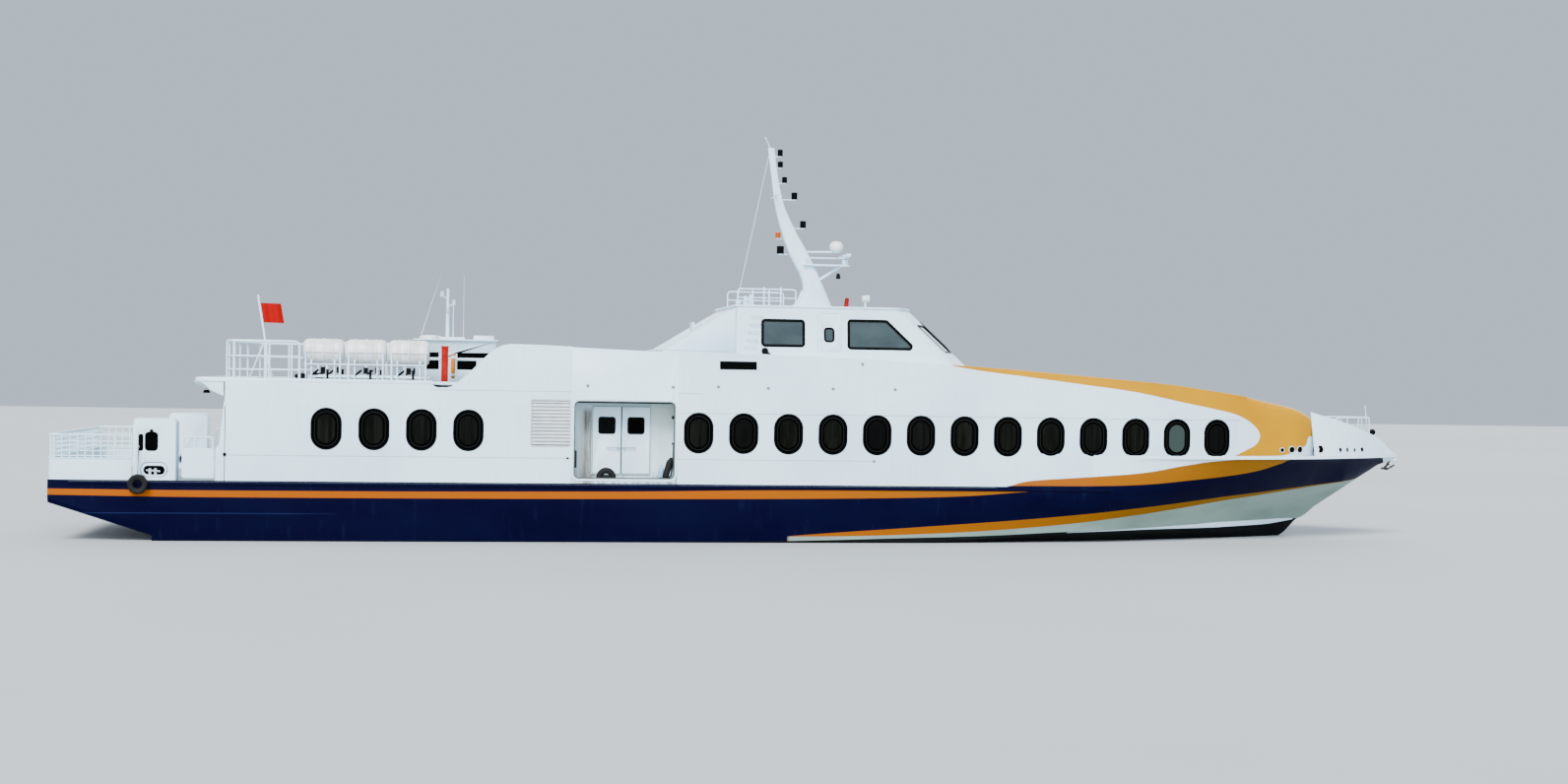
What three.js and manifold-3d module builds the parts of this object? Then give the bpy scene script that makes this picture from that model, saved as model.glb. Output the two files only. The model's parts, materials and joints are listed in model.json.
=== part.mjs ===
// A 39 m aluminium fast passenger ferry: one slender hull, a long saloon and a raked wheelhouse.
// Millimetres. X runs to the bow, Y to port and Z up. The origin is amidships on the centreline,
// at the waterline. Twin screws and twin rudders hang below the counter stern.
import * as THREE from "three";
import { mergeVertices } from "three/addons/utils/BufferGeometryUtils.js";
import Module from "manifold-3d";

const wasm = await Module();
wasm.setup();

// Driving dimensions of the hull
const STERN_X = -19570;
const TRANSOM_X = -16950;
const BOW_X = 19600;
const HALF_BEAM = 3450;
const PARALLEL_END_X = 8800;
const BOW_FULLNESS = 2.6;
const DECK_Z = 1620;
const FOREDECK_Z = 2530;
const KNUCKLE_Z = 2430;
const KNUCKLE_START_X = 9600;
const KNUCKLE_STEP = 70;
const RAISED_HULL_X = PARALLEL_END_X;

// Driving dimensions of the superstructure
const WALL = 60;
const GAP = 0.3;
const SALOON_AFT_X = -15100;
const ROOF_AFT_X = -15920;
const UPPER_DECK_Z = 4330;
const TUMBLEHOME_Z = 3720;
const TUMBLEHOME_SLOPE = 0.07;
const RAISED_HOUSE_X = -3500;
const NOSE_START_X = 13500;
const RECESS = { x0: -5890, x1: -3110, z0: 1740, z1: 3880, depth: 780, corner: 150 };
const RECESS_FRAME = 60;
const HOOD = { x0: -10200, x1: -8000, half: 1900, z1: 5470 };
const WINDOW = { width: 760, height: 1070, z: 3030, pitch: 1250 };
const AFT_WINDOWS = { first: -12470, count: 4 };
const FORWARD_WINDOWS = { first: -2475, count: 13 };
const WHEELHOUSE_ROOF_Z = 6560;

// Half the hull's width at its deck edge: parallel aft, then drawn in to the stem.
function deckHalf(x) {
  if (x <= PARALLEL_END_X) return HALF_BEAM;
  const t = Math.min(1, (x - PARALLEL_END_X) / (BOW_X - PARALLEL_END_X));
  return HALF_BEAM * (1 - t ** BOW_FULLNESS);
}

// A value read from a table of [x, value] rows, with straight lines between them.
function along(table, x) {
  const last = table.length - 1;
  if (x <= table[0][0]) return table[0][1];
  for (let i = 0; i < last; i++) {
    const [x0, v0] = table[i];
    const [x1, v1] = table[i + 1];
    if (x <= x1) return v0 + ((v1 - v0) * (x - x0)) / (x1 - x0);
  }
  return table[last][1];
}

// Height of the side walls' top edge: [x, z]
const WALL_TOP = [
  [-9640, 4250],
  [-9580, 4180],
  [-9300, 4180],
  [-8940, 4400],
  [-7790, 5355],
  [-7580, 5380],
  [-3570, 5240],
  [2000, 5090],
  [5600, 4910],
  [8000, 4745],
  [9600, 4625],
  [11100, 4505],
  [12300, 4355],
  [13500, 4197],
];

function wallHalf(x, z) {
  return deckHalf(x) - Math.max(0, z - TUMBLEHOME_Z) * TUMBLEHOME_SLOPE;
}

// Solids: three.js makes each shape, and the library joins and cuts them.
function solid(geometry) {
  const bare = geometry.clone();
  bare.deleteAttribute("normal");
  bare.deleteAttribute("uv");
  const merged = mergeVertices(bare, 1e-3);
  const vertProperties = new Float32Array(merged.attributes.position.array);
  const triVerts = new Uint32Array(merged.index.array);
  const made = new wasm.Manifold(new wasm.Mesh({ numProp: 3, vertProperties, triVerts }));
  if (made.volume() >= 0) return made;
  for (let i = 0; i < triVerts.length; i += 3) {
    [triVerts[i + 1], triVerts[i + 2]] = [triVerts[i + 2], triVerts[i + 1]];
  }
  return new wasm.Manifold(new wasm.Mesh({ numProp: 3, vertProperties, triVerts }));
}

function join(parts) {
  return parts.reduce((whole, part) => whole.add(part));
}

function cut(whole, tools) {
  return tools.reduce((left, tool) => left.subtract(tool), whole);
}

function box(x0, x1, y0, y1, z0, z1) {
  const geometry = new THREE.BoxGeometry(x1 - x0, y1 - y0, z1 - z0);
  return solid(geometry.translate((x0 + x1) / 2, (y0 + y1) / 2, (z0 + z1) / 2));
}

// A round bar between two points.
function bar(a, b, radius, sides = 8, endRadius = radius) {
  const from = new THREE.Vector3(...a);
  const to = new THREE.Vector3(...b);
  const way = to.clone().sub(from);
  const geometry = new THREE.CylinderGeometry(endRadius, radius, way.length(), sides);
  const turn = new THREE.Quaternion();
  turn.setFromUnitVectors(new THREE.Vector3(0, 1, 0), way.clone().normalize());
  geometry.applyQuaternion(turn);
  const middle = from.add(to).multiplyScalar(0.5);
  return solid(geometry.translate(middle.x, middle.y, middle.z));
}

// Bars through a row of points, each running a little past its ends so that corners close.
function rail(points, radius, sides = 8) {
  const bars = [];
  for (let i = 1; i < points.length; i++) {
    bars.push(bar(points[i - 1], points[i], radius, sides));
  }
  return join(bars);
}

function outline(points) {
  return new THREE.Shape(points.map(([a, b]) => new THREE.Vector2(a, b)));
}

// An outline in plan [x, y], raised from z0 to z1.
function plate(points, z0, z1) {
  const geometry = new THREE.ExtrudeGeometry(outline(points), { depth: z1 - z0, bevelEnabled: false });
  return solid(geometry.translate(0, 0, z0));
}

// A side outline [x, z], carried across from y0 to y1.
function profile(points, y0, y1) {
  const geometry = new THREE.ExtrudeGeometry(outline(points), { depth: y1 - y0, bevelEnabled: false });
  return solid(geometry.rotateX(Math.PI / 2).translate(0, y1, 0));
}

// An end outline [y, z], carried along from x0 to x1.
function section(points, x0, x1) {
  const geometry = new THREE.ExtrudeGeometry(outline(points), { depth: x1 - x0, bevelEnabled: false });
  geometry.applyMatrix4(new THREE.Matrix4().makeBasis(
    new THREE.Vector3(0, 1, 0),
    new THREE.Vector3(0, 0, 1),
    new THREE.Vector3(1, 0, 0),
  ));
  return solid(geometry.translate(x0, 0, 0));
}

// Points of a rectangle with round corners, about a centre.
function roundRect(ca, cb, width, height, radius, steps = 4) {
  const points = [];
  const corners = [[1, 1, 0], [-1, 1, 1], [-1, -1, 2], [1, -1, 3]];
  for (const [sa, sb, quarter] of corners) {
    for (let i = 0; i <= steps; i++) {
      const angle = ((quarter + i / steps) * Math.PI) / 2;
      points.push([
        ca + sa * (width / 2 - radius) + radius * Math.cos(angle),
        cb + sb * (height / 2 - radius) + radius * Math.sin(angle),
      ]);
    }
  }
  return points;
}

// A body through closed rings of equal length, with a flat cap on each end.
function loft(rings) {
  const count = rings[0].length;
  const positions = rings.flat(2);
  const index = [];
  for (let r = 0; r + 1 < rings.length; r++) {
    for (let i = 0; i < count; i++) {
      const a = r * count + i;
      const b = r * count + ((i + 1) % count);
      index.push(a, b, b + count, a, b + count, a + count);
    }
  }
  const across = ([x, y, z]) => {
    const flatInX = rings[0].every((p) => Math.abs(p[0] - rings[0][0][0]) < 1);
    return flatInX ? new THREE.Vector2(y, z) : new THREE.Vector2(x, y);
  };
  const last = (rings.length - 1) * count;
  for (const [ring, base, turned] of [[rings[0], 0, false], [rings.at(-1), last, true]]) {
    const flat = ring.map(across);
    const faces = THREE.ShapeUtils.triangulateShape(flat, []);
    const clockwise = THREE.ShapeUtils.isClockWise(flat);
    for (const [a, b, c] of faces) {
      if (turned !== clockwise) index.push(base + a, base + b, base + c);
      else index.push(base + a, base + c, base + b);
    }
  }
  const geometry = new THREE.BufferGeometry();
  geometry.setAttribute("position", new THREE.Float32BufferAttribute(positions, 3));
  geometry.setIndex(index);
  return solid(geometry);
}

// Both halves of a section from its right half, listed from the lowest middle point upwards.
function mirrored(half) {
  const other = half.filter(([, y]) => Math.abs(y) > 1e-6).map(([x, y, z]) => [x, -y, z]);
  return [...half, ...other.reverse()];
}

const ship = new THREE.Group();

const FINISH = {
  white: { color: "#dde6ec", roughness: 0.32, metalness: 0.1 },
  navy: { color: "#0b1150", roughness: 0.3, metalness: 0.1 },
  deck: { color: "#7d8a86", roughness: 0.8, metalness: 0 },
  alloy: { color: "#c9ced1", roughness: 0.4, metalness: 0.9 },
  bronze: { color: "#a3763a", roughness: 0.35, metalness: 0.95 },
  rubber: { color: "#17181a", roughness: 0.85, metalness: 0 },
  black: { color: "#1b1c1f", roughness: 0.6, metalness: 0.2 },
  red: { color: "#c3261f", roughness: 0.6, metalness: 0 },
  orange: { color: "#e0661f", roughness: 0.6, metalness: 0 },
  gold: { color: "#e5ac3c", roughness: 0.35, metalness: 0.1 },
};

// Adds one named piece to the ship, as a flat-shaded mesh.
function piece(name, body, finish) {
  const { vertProperties, triVerts } = body.getMesh();
  const geometry = new THREE.BufferGeometry();
  geometry.setAttribute("position", new THREE.BufferAttribute(new Float32Array(vertProperties), 3));
  geometry.setIndex(new THREE.BufferAttribute(new Uint32Array(triVerts), 1));
  const flat = geometry.toNonIndexed();
  flat.computeVertexNormals();
  const mesh = new THREE.Mesh(flat, new THREE.MeshStandardMaterial({ ...FINISH[finish], side: THREE.FrontSide }));
  mesh.name = name;
  ship.add(mesh);
}

// Starboard first: the sign of Y on each side.
const SIDES = [["starboard", -1], ["port", 1]];

function mirrorY(body, sign) {
  return sign < 0 ? body : body.scale([1, -1, 1]);
}

// Hull sections: x, keel height, chine half-width, chine height
const HULL = [
  [TRANSOM_X, -800, 3150, -350],
  [-13000, -1000, 3200, -340],
  [-5000, -1150, 3200, -280],
  [3000, -1150, 3150, -50],
  [RAISED_HULL_X, -1080, 2900, 330],
  [KNUCKLE_START_X, -1060, 2740, 360],
  [11000, -1010, 2330, 410],
  [12100, -940, 1950, 450],
  [13400, -760, 1440, 485],
  [14500, -500, 980, 510],
  [15300, -220, 560, 525],
  [15900, 60, 270, 535],
  [16350, 500, 70, 545],
  [17130, 1020, 30, 1060],
  [17800, 1440, 30, 1480],
  [18430, 1850, 30, 1890],
  [19040, 2210, 25, 2240],
  [19590, 2330, 12, 2336],
];

// A hull section, square at the deck aft and flared out to a knuckle forward.
function hullRing([x, keelZ, chineY, chineZ], forward) {
  const edge = Math.max(deckHalf(x), 26);
  const step = KNUCKLE_STEP * THREE.MathUtils.clamp((x - KNUCKLE_START_X) / 2400, 0, 1);
  const under = Math.max(edge - step, 20);
  const fullness = 1 - 0.4 * THREE.MathUtils.clamp((x - RAISED_HULL_X) / 4200, 0, 1);
  const kneeZ = Math.max(DECK_Z - 100, keelZ + 0.3 * (KNUCKLE_Z - 30 - keelZ));
  const kneeY = chineY + (under - chineY) * fullness;
  const tops = forward
    ? [[under, KNUCKLE_Z - 30], [edge, KNUCKLE_Z + 10], [edge, FOREDECK_Z]]
    : [[HALF_BEAM, DECK_Z - 80], [HALF_BEAM, DECK_Z - 40], [HALF_BEAM, DECK_Z]];
  const half = [
    [0, keelZ],
    [chineY, chineZ],
    [chineY + Math.min(60, chineY * 0.1), chineZ + 12],
    [kneeY, kneeZ],
    ...tops,
    [0, tops[2][1]],
  ];
  return mirrored(half.map(([y, z]) => [x, y, z]));
}

// The counter stern: x, half-width, height of its flat bottom
const COUNTER = [
  [STERN_X, 3370, 990],
  [-19520, 3420, 978],
  [-19400, HALF_BEAM, 935],
  [TRANSOM_X + 5, HALF_BEAM, 130],
];

function counterRing([x, half, bottomZ]) {
  return mirrored([
    [x, 0, bottomZ],
    [x, half - 160, bottomZ],
    [x, half, bottomZ + 140],
    [x, half, DECK_Z],
    [x, 0, DECK_Z],
  ]);
}

// Cleats and bollards along the deck edge: x, y from the centreline
const BOLLARDS = [[-18500, 2900], [17350, 850]];

function hull() {
  const seam = HULL.findIndex(([x]) => x === RAISED_HULL_X);
  const aft = loft(HULL.slice(0, seam + 1).map((row) => hullRing(row, false)));
  const forward = loft(HULL.slice(seam).map((row) => hullRing(row, true)));
  const counter = loft(COUNTER.map(counterRing));
  // The saloon's floor runs on into the raised forward hull as a well.
  const wellSide = [[8300, 3190], [9600, 3190], [11000, 2950], [12100, 2650], [13200, 2250]];
  const well = [...wellSide, ...wellSide.map(([x, y]) => [x, -y]).reverse()];
  const skeg = profile([[-12500, -950], [-4000, -1050], [-5200, -1420], [-11800, -1300]], -45, 45);
  const strakes = SIDES.map(([, sign]) => {
    const strake = section([[-3440, 1490], [-3490, 1510], [-3490, 1570], [-3440, 1590]], -19050, 9300);
    return mirrorY(strake, sign);
  });
  const bollards = BOLLARDS.flatMap(([x, y]) => SIDES.map(([, sign]) => {
    const z = x > 0 ? FOREDECK_Z : DECK_Z;
    return join([
      bar([x - 110, y * sign, z - 20], [x - 110, y * sign, z + 230], 50),
      bar([x + 110, y * sign, z - 20], [x + 110, y * sign, z + 230], 50),
      bar([x - 200, y * sign, z + 150], [x + 200, y * sign, z + 150], 28),
    ]);
  }));
  const whole = join([aft, forward, counter, skeg, ...strakes, ...bollards]);
  return cut(whole, [plate(well, DECK_Z, FOREDECK_Z + 50)]);
}
piece("hull", hull(), "navy");

// The bow bulwark leans inboard and drops to the stem: x, top height
const BULWARK_TOP = [
  [15950, 3820],
  [16480, 3690],
  [17110, 3555],
  [18140, 3245],
  [18560, 3115],
  [18870, 2980],
  [19150, 2780],
  [19420, 2590],
  [19560, 2550],
];
const BULWARK_LEAN = 0.28;

function bowBulwark() {
  const shell = (inset, base) => loft(BULWARK_TOP.map(([x, top]) => {
    const foot = Math.max(deckHalf(x) - 12 - inset, 8);
    const head = Math.max(foot - (top - FOREDECK_Z) * BULWARK_LEAN, 4);
    const z = top + (inset ? 60 : 0);
    return [[x, -foot, base], [x, foot, base], [x, head, z], [x, -head, z]];
  }));
  const inside = shell(50, FOREDECK_Z - 20).intersect(box(15000, 19420, -3000, 3000, 2000, 4200));
  return cut(shell(0, FOREDECK_Z + GAP), [inside, nose(-GAP)]);
}

// The saloon's rounded forward end: x, half-width, height of the crown
const NOSE = [
  [NOSE_START_X, 0, 4297],
  [14300, 10, 4140],
  [15150, 50, 3985],
  [15650, 160, 3840],
  [16050, 350, 3660],
  [16350, 680, 3430],
  [16530, 1100, 3100],
];

// The nose as a body, grown or shrunk by a margin.
function nose(margin) {
  const grow = -margin;
  return loft(NOSE.map(([x, draw, crown]) => {
    const half = deckHalf(x) - 14 - draw + grow;
    const z = crown + grow;
    const shoulder = Math.min(TUMBLEHOME_Z, z - 330);
    const reach = half - (z - shoulder) * 0.1;
    return mirrored([
      [x + (x === NOSE_START_X ? 0 : grow), 0, FOREDECK_Z + GAP],
      [x + (x === NOSE_START_X ? 0 : grow), half, FOREDECK_Z + GAP],
      [x + (x === NOSE_START_X ? 0 : grow), half, shoulder],
      [x + (x === NOSE_START_X ? 0 : grow), reach, z - 130],
      [x + (x === NOSE_START_X ? 0 : grow), reach - 160, z - 40],
      [x + (x === NOSE_START_X ? 0 : grow), 0, z + 10],
    ]);
  }));
}
piece("bow_bulwark", bowBulwark(), "white");

function noseShell() {
  return cut(nose(0), [nose(WALL), nose(WALL).translate([-40, 0, -8])]);
}
piece("nose_shell", noseShell(), "gold");

// A stretch of side wall between two stations, on the starboard side.
const WALL_STATIONS = [
  SALOON_AFT_X, -9640, -9580, -9300, -8940, -7790, -7580, -3570, 2000, 5600,
  RAISED_HULL_X - 2 * GAP, RAISED_HULL_X - GAP, KNUCKLE_START_X, 10600, 11600, 12600, NOSE_START_X - GAP,
];

function wallRing(x) {
  const foot = (x > RAISED_HULL_X - 2 * GAP + 0.01 ? FOREDECK_Z : DECK_Z) + GAP;
  const top = along(WALL_TOP, x);
  const bend = Math.min(TUMBLEHOME_Z, top - 1);
  return [
    [x, -wallHalf(x, foot), foot],
    [x, -wallHalf(x, bend), bend],
    [x, -wallHalf(x, top), top],
    [x, WALL - wallHalf(x, top), top],
    [x, WALL - wallHalf(x, bend), bend],
    [x, WALL - wallHalf(x, foot), foot],
  ];
}

function sideWall(x0, x1) {
  const between = WALL_STATIONS.filter((x) => x > x0 && x < x1);
  return loft([x0, ...between, x1].map(wallRing));
}

function windowCuts({ first, count }) {
  return Array.from({ length: count }, (_, i) => {
    const x = first + i * WINDOW.pitch;
    const shape = roundRect(x, WINDOW.z, WINDOW.width, WINDOW.height, WINDOW.width / 2 - 1, 3);
    return profile(shape, -3700, -2700);
  });
}

// The bulwark stub at the wall's after end, which the boarding gate hangs on
const GATE_POST = [
  [SALOON_AFT_X + 20, DECK_Z + GAP],
  [-15322, DECK_Z + GAP],
  [-15322, 2480],
  [-15225, 2600],
  [SALOON_AFT_X - 20, TUMBLEHOME_Z],
  [SALOON_AFT_X + 20, TUMBLEHOME_Z],
];
const LOUVRE = { x0: -7030, x1: -6000, z0: 2640, z1: 3870, slats: 10 };
const VENT_SLOT = { x0: -1910, x1: -870, z0: 4780, z1: 5020 };

// The louvre's opening with its sloping slats left standing in it.
function louvreSlats() {
  const pitch = (LOUVRE.z1 - LOUVRE.z0) / LOUVRE.slats;
  return Array.from({ length: LOUVRE.slats }, (_, i) => {
    const z = LOUVRE.z0 + (i + 0.5) * pitch;
    const slat = [[-3435, z - 55], [-3435, z - 35], [-3395, z + 45], [-3395, z + 25]];
    return section(slat, LOUVRE.x0 - 5, LOUVRE.x1 + 5);
  });
}

// The boarding recess: a box let into the saloon's side, with a sill to step on.
function recess() {
  const { x0, x1, z0, z1, depth, corner } = RECESS;
  const outer = sideWall(x0 - RECESS_FRAME, x1 + RECESS_FRAME);
  const back = -HALF_BEAM + depth;
  const middle = (x0 + x1) / 2;
  const height = (z0 + z1) / 2;
  const mouth = profile(roundRect(middle, height, x1 - x0, z1 - z0, corner), -3700, back);
  const shape = roundRect(middle, height, x1 - x0 + 100, z1 - z0 + 100, corner + 50);
  const tub = profile(shape, -HALF_BEAM + 10, back + 50);
  const trimmed = tub.intersect(box(x0 - RECESS_FRAME, x1 + RECESS_FRAME, -4000, 0, DECK_Z + GAP, 5000));
  const doorway = box(DOORWAY.x0, DOORWAY.x1, back - 10, back + 200, DOORWAY.z0, DOORWAY.z1);
  return cut(join([outer, trimmed]), [mouth, doorway]);
}

const DOORWAY = { x0: -5345, x1: -3735, z0: 1850, z1: 3720 };
const DOOR_LEAF = { thick: 45, clearance: 6 };

for (const [side, sign] of SIDES) {
  const aftEnd = RECESS.x0 - RECESS_FRAME - GAP;
  const forwardStart = RECESS.x1 + RECESS_FRAME + GAP;
  const louvre = box(LOUVRE.x0, LOUVRE.x1, -3700, -3200, LOUVRE.z0, LOUVRE.z1);
  const slot = box(VENT_SLOT.x0, VENT_SLOT.x1, -3700, -3200, VENT_SLOT.z0, VENT_SLOT.z1);
  const wallEnd = sideWall(SALOON_AFT_X, aftEnd);
  const stub = profile(GATE_POST, -HALF_BEAM, -HALF_BEAM + WALL);
  const aft = cut(join([wallEnd, stub]), [...windowCuts(AFT_WINDOWS), louvre]);
  const forward = cut(sideWall(forwardStart, NOSE_START_X - GAP), [...windowCuts(FORWARD_WINDOWS), slot]);
  piece(`saloon_side_aft_${side}`, mirrorY(join([aft, ...louvreSlats()]), sign), "white");
  piece(`boarding_recess_${side}`, mirrorY(recess(), sign), "white");
  piece(`saloon_side_forward_${side}`, mirrorY(forward, sign), "white");
}

// Saloon doors in the recess: two leaves, hinged at their outer edges, with square lights.
function doorLeaf(x0, x1) {
  const { thick, clearance } = DOOR_LEAF;
  const face = -HALF_BEAM + RECESS.depth;
  const leaf = box(x0, x1, face - thick - 1, face - 1, DOORWAY.z0 - 10, DOORWAY.z1 + 10);
  const middle = (x0 + x1) / 2;
  const light = profile(roundRect(middle, 3190, 430, 430, 50, 3), face - 200, face + 100);
  const handleX = x0 < (DOORWAY.x0 + DOORWAY.x1) / 2 - clearance ? x1 - 90 : x0 + 90;
  const handle = bar([handleX, face - thick - 30, 2480], [handleX, face - thick - 30, 2760], 14);
  const feet = [2500, 2740].map((z) => bar([handleX, face - thick - 32, z], [handleX, face - thick + 5, z], 10));
  return join([cut(leaf, [light]), handle, ...feet]);
}

for (const [side, sign] of SIDES) {
  const middle = (DOORWAY.x0 + DOORWAY.x1) / 2;
  const { clearance } = DOOR_LEAF;
  const aft = doorLeaf(DOORWAY.x0 - 10, middle - clearance / 2);
  const forward = doorLeaf(middle + clearance / 2, DOORWAY.x1 + 10);
  piece(`side_door_aft_${side}`, mirrorY(aft, sign), "white");
  piece(`side_door_forward_${side}`, mirrorY(forward, sign), "white");
}

// The saloon's after wall, with a central doorway to the after deck.
const AFT_DOOR = { halfWidth: 450, z0: 1700, z1: 3650 };

function aftWall() {
  const half = HALF_BEAM - WALL - GAP;
  const wall = section([
    [-half, DECK_Z + GAP],
    [half, DECK_Z + GAP],
    [half, TUMBLEHOME_Z],
    [half - 45, 4250 - GAP],
    [-half + 45, 4250 - GAP],
    [-half, TUMBLEHOME_Z],
  ], SALOON_AFT_X, SALOON_AFT_X + WALL);
  const door = section(roundRect(0, (AFT_DOOR.z0 + AFT_DOOR.z1) / 2, 2 * AFT_DOOR.halfWidth,
    AFT_DOOR.z1 - AFT_DOOR.z0, 120), SALOON_AFT_X - 100, SALOON_AFT_X + 200);
  const windows = SIDES.map(([, sign]) =>
    section(roundRect(1900 * sign, 3000, 1100, 800, 120), SALOON_AFT_X - 100, SALOON_AFT_X + 200));
  return cut(wall, [door, ...windows]);
}
piece("saloon_aft_wall", aftWall(), "white");

function aftDoor() {
  const { halfWidth, z0, z1 } = AFT_DOOR;
  const face = SALOON_AFT_X - 1;
  const leaf = section(roundRect(0, (z0 + z1) / 2, 2 * halfWidth + 60, z1 - z0 + 60, 140), face - 45, face);
  const light = section(roundRect(0, 3080, 420, 520, 80), face - 100, face + 50);
  const handle = bar([face - 80, -340, 2500], [face - 80, -340, 2760], 14);
  const feet = [2520, 2740].map((z) => bar([face - 82, -340, z], [face - 40, -340, z], 10));
  return join([cut(leaf, [light]), handle, ...feet]);
}
piece("saloon_aft_door", aftDoor(), "white");

const LIFEBUOY_POST = { x: -9070, y: 2750 };

// The upper deck: over the wall tops aft, then let in between the raised sides.
function upperDeck() {
  const edge = wallHalf(-12000, UPPER_DECK_Z);
  const inner = wallHalf(-6000, UPPER_DECK_Z) - WALL - GAP;
  const plan = [
    [ROOF_AFT_X + 260, -edge],
    [-9650, -edge],
    [-9650, -inner],
    [RAISED_HOUSE_X + 200, -inner],
    [RAISED_HOUSE_X + 200, inner],
    [-9650, inner],
    [-9650, edge],
    [ROOF_AFT_X + 260, edge],
    [ROOF_AFT_X, edge - 400],
    [ROOF_AFT_X, -edge + 400],
  ];
  const slab = plate(plan, 4250 + GAP, UPPER_DECK_Z);
  const overhang = profile([
    [ROOF_AFT_X + 20, 4262],
    [SALOON_AFT_X - GAP - 40, 3860],
    [SALOON_AFT_X - GAP - 40, 4262],
  ], -edge + 420, edge - 420);
  const lip = rail([
    [-9700, -edge + 30, UPPER_DECK_Z],
    [ROOF_AFT_X + 280, -edge + 30, UPPER_DECK_Z],
    [ROOF_AFT_X + 40, -edge + 410, UPPER_DECK_Z],
    [ROOF_AFT_X + 40, edge - 410, UPPER_DECK_Z],
    [ROOF_AFT_X + 280, edge - 30, UPPER_DECK_Z],
    [-9700, edge - 30, UPPER_DECK_Z],
  ], 28);
  const posts = SIDES.map(([, sign]) => {
    const y = sign * LIFEBUOY_POST.y;
    return join([
      bar([LIFEBUOY_POST.x, y, UPPER_DECK_Z - 10], [LIFEBUOY_POST.x, y, 5100], 20, 6),
      bar([LIFEBUOY_POST.x, y, 4990], [LIFEBUOY_POST.x - 90, y, 4960], 12, 4),
    ]);
  });
  return join([slab, overhang, lip, ...posts]);
}
piece("upper_deck", upperDeck(), "white");

// The raised house's roof, cambered, falling forward to the nose. It rests on the wall tops.
const ROOF_XS = [RAISED_HOUSE_X, 2000, 5600, 8000, 9600, 11100, 12300, NOSE_START_X - GAP];
const ROOF_THICK = 60;
const ROOF_CAMBER = 50;

function roofBody(base, crown) {
  return loft(ROOF_XS.map((x) => {
    const z = along(WALL_TOP, x);
    const half = wallHalf(x, z);
    return [
      [x, -half, z + base],
      [x, 0, z + base + (base > 0 ? ROOF_CAMBER : 0)],
      [x, half, z + base],
      [x, half, z + crown - 25],
      [x, half - 40, z + crown],
      [x, 0, z + crown + ROOF_CAMBER],
      [x, -half + 40, z + crown],
      [x, -half, z + crown - 25],
    ];
  }));
}

function houseRoof() {
  const hatchway = box(-2100, -300, -450, 450, 4000, 5600);
  return cut(roofBody(GAP, ROOF_THICK), [hatchway]);
}
piece("house_roof", houseRoof(), "white");

// The bulkhead that closes the raised house aft, with its companionway door.
const COMPANION = { halfWidth: 400, z0: 4420, z1: 6150, x: -2300 };

function raisedBulkhead() {
  const inner = wallHalf(RAISED_HOUSE_X, 5200) - WALL - 8;
  const top = along(WALL_TOP, RAISED_HOUSE_X);
  const wall = section([
    [-inner, UPPER_DECK_Z + GAP],
    [inner, UPPER_DECK_Z + GAP],
    [inner, top - 5],
    [-inner, top - 5],
  ], RAISED_HOUSE_X + 40, RAISED_HOUSE_X + 100);
  const way = box(RAISED_HOUSE_X, RAISED_HOUSE_X + 300, -420, 420, UPPER_DECK_Z - 10, top - 60);
  return cut(wall, [way]);
}

// The wheelhouse in plan at two heights: front x, corner x, half-width at the front and at the side
const WHEELHOUSE_FOOT = { z: 4880, front: 5700, corner: 5150, nose: 1350, half: 2620 };
const WHEELHOUSE_HEAD = { z: WHEELHOUSE_ROOF_Z, front: 3850, corner: 3330, nose: 1300, half: 2420 };
const WHEELHOUSE_AFT_X = -1360;

function wheelhouseBody(inset) {
  const ring = ({ z, front, corner, nose: bluff, half }) => {
    const side = half - inset;
    const aft = WHEELHOUSE_AFT_X + inset;
    return [
      [aft, -side, z],
      [corner - 0.5 * inset, -side, z],
      [front - inset, -bluff + 0.3 * inset, z],
      [front - inset, bluff - 0.3 * inset, z],
      [corner - 0.5 * inset, side, z],
      [aft, side, z],
    ];
  };
  return loft([ring(WHEELHOUSE_FOOT), ring(WHEELHOUSE_HEAD)]);
}

const WHEELHOUSE_DOOR = { x0: 960, x1: 1640, z0: 5330, z1: 6420 };
const SIDE_WINDOW_AFT = roundRect(-25, 5840, 1210, 750, 60, 2);
const SIDE_WINDOW_FORWARD = [[1850, 5450], [3670, 5450], [2885, 6240], [1850, 6240]];
const FRONT_PANE = { half: 610, z0: 5420, z1: 6280, centre: 680 };

function wheelhouse() {
  const shell = cut(wheelhouseBody(0), [wheelhouseBody(WALL).translate([0, 0, 1]), wheelhouseBody(WALL).translate([0, 0, -1])]);
  const { x0, x1, z0, z1 } = WHEELHOUSE_DOOR;
  const sides = [
    profile(SIDE_WINDOW_AFT, -3500, 3500),
    profile(SIDE_WINDOW_FORWARD, -3500, 3500),
    box(x0, x1, -3500, 3500, z0, z1),
  ];
  const fronts = SIDES.map(([, sign]) => section(
    roundRect(FRONT_PANE.centre * sign, (FRONT_PANE.z0 + FRONT_PANE.z1) / 2,
      2 * FRONT_PANE.half, FRONT_PANE.z1 - FRONT_PANE.z0, 50, 2), 3700, 6500));
  const corners = SIDES.map(([, sign]) => {
    const cutter = box(-900, 900, -470, 470, 5470, 6230);
    const bearing = Math.atan2(WHEELHOUSE_FOOT.front - WHEELHOUSE_FOOT.corner,
      WHEELHOUSE_FOOT.half - WHEELHOUSE_FOOT.nose);
    const degrees = 90 - (bearing * 180) / Math.PI;
    return cutter.rotate([0, 0, sign * (90 - degrees)]).translate([4560, sign * 1930, 0]);
  });
  const aftWay = box(WHEELHOUSE_AFT_X - 100, WHEELHOUSE_AFT_X + 200, -400, 400, 4000, 6150);
  const bed = roofBody(-3000, ROOF_THICK + GAP);
  return cut(shell, [...sides, ...fronts, ...corners, aftWay, bed]);
}
piece("wheelhouse_shell", wheelhouse(), "white");

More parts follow.
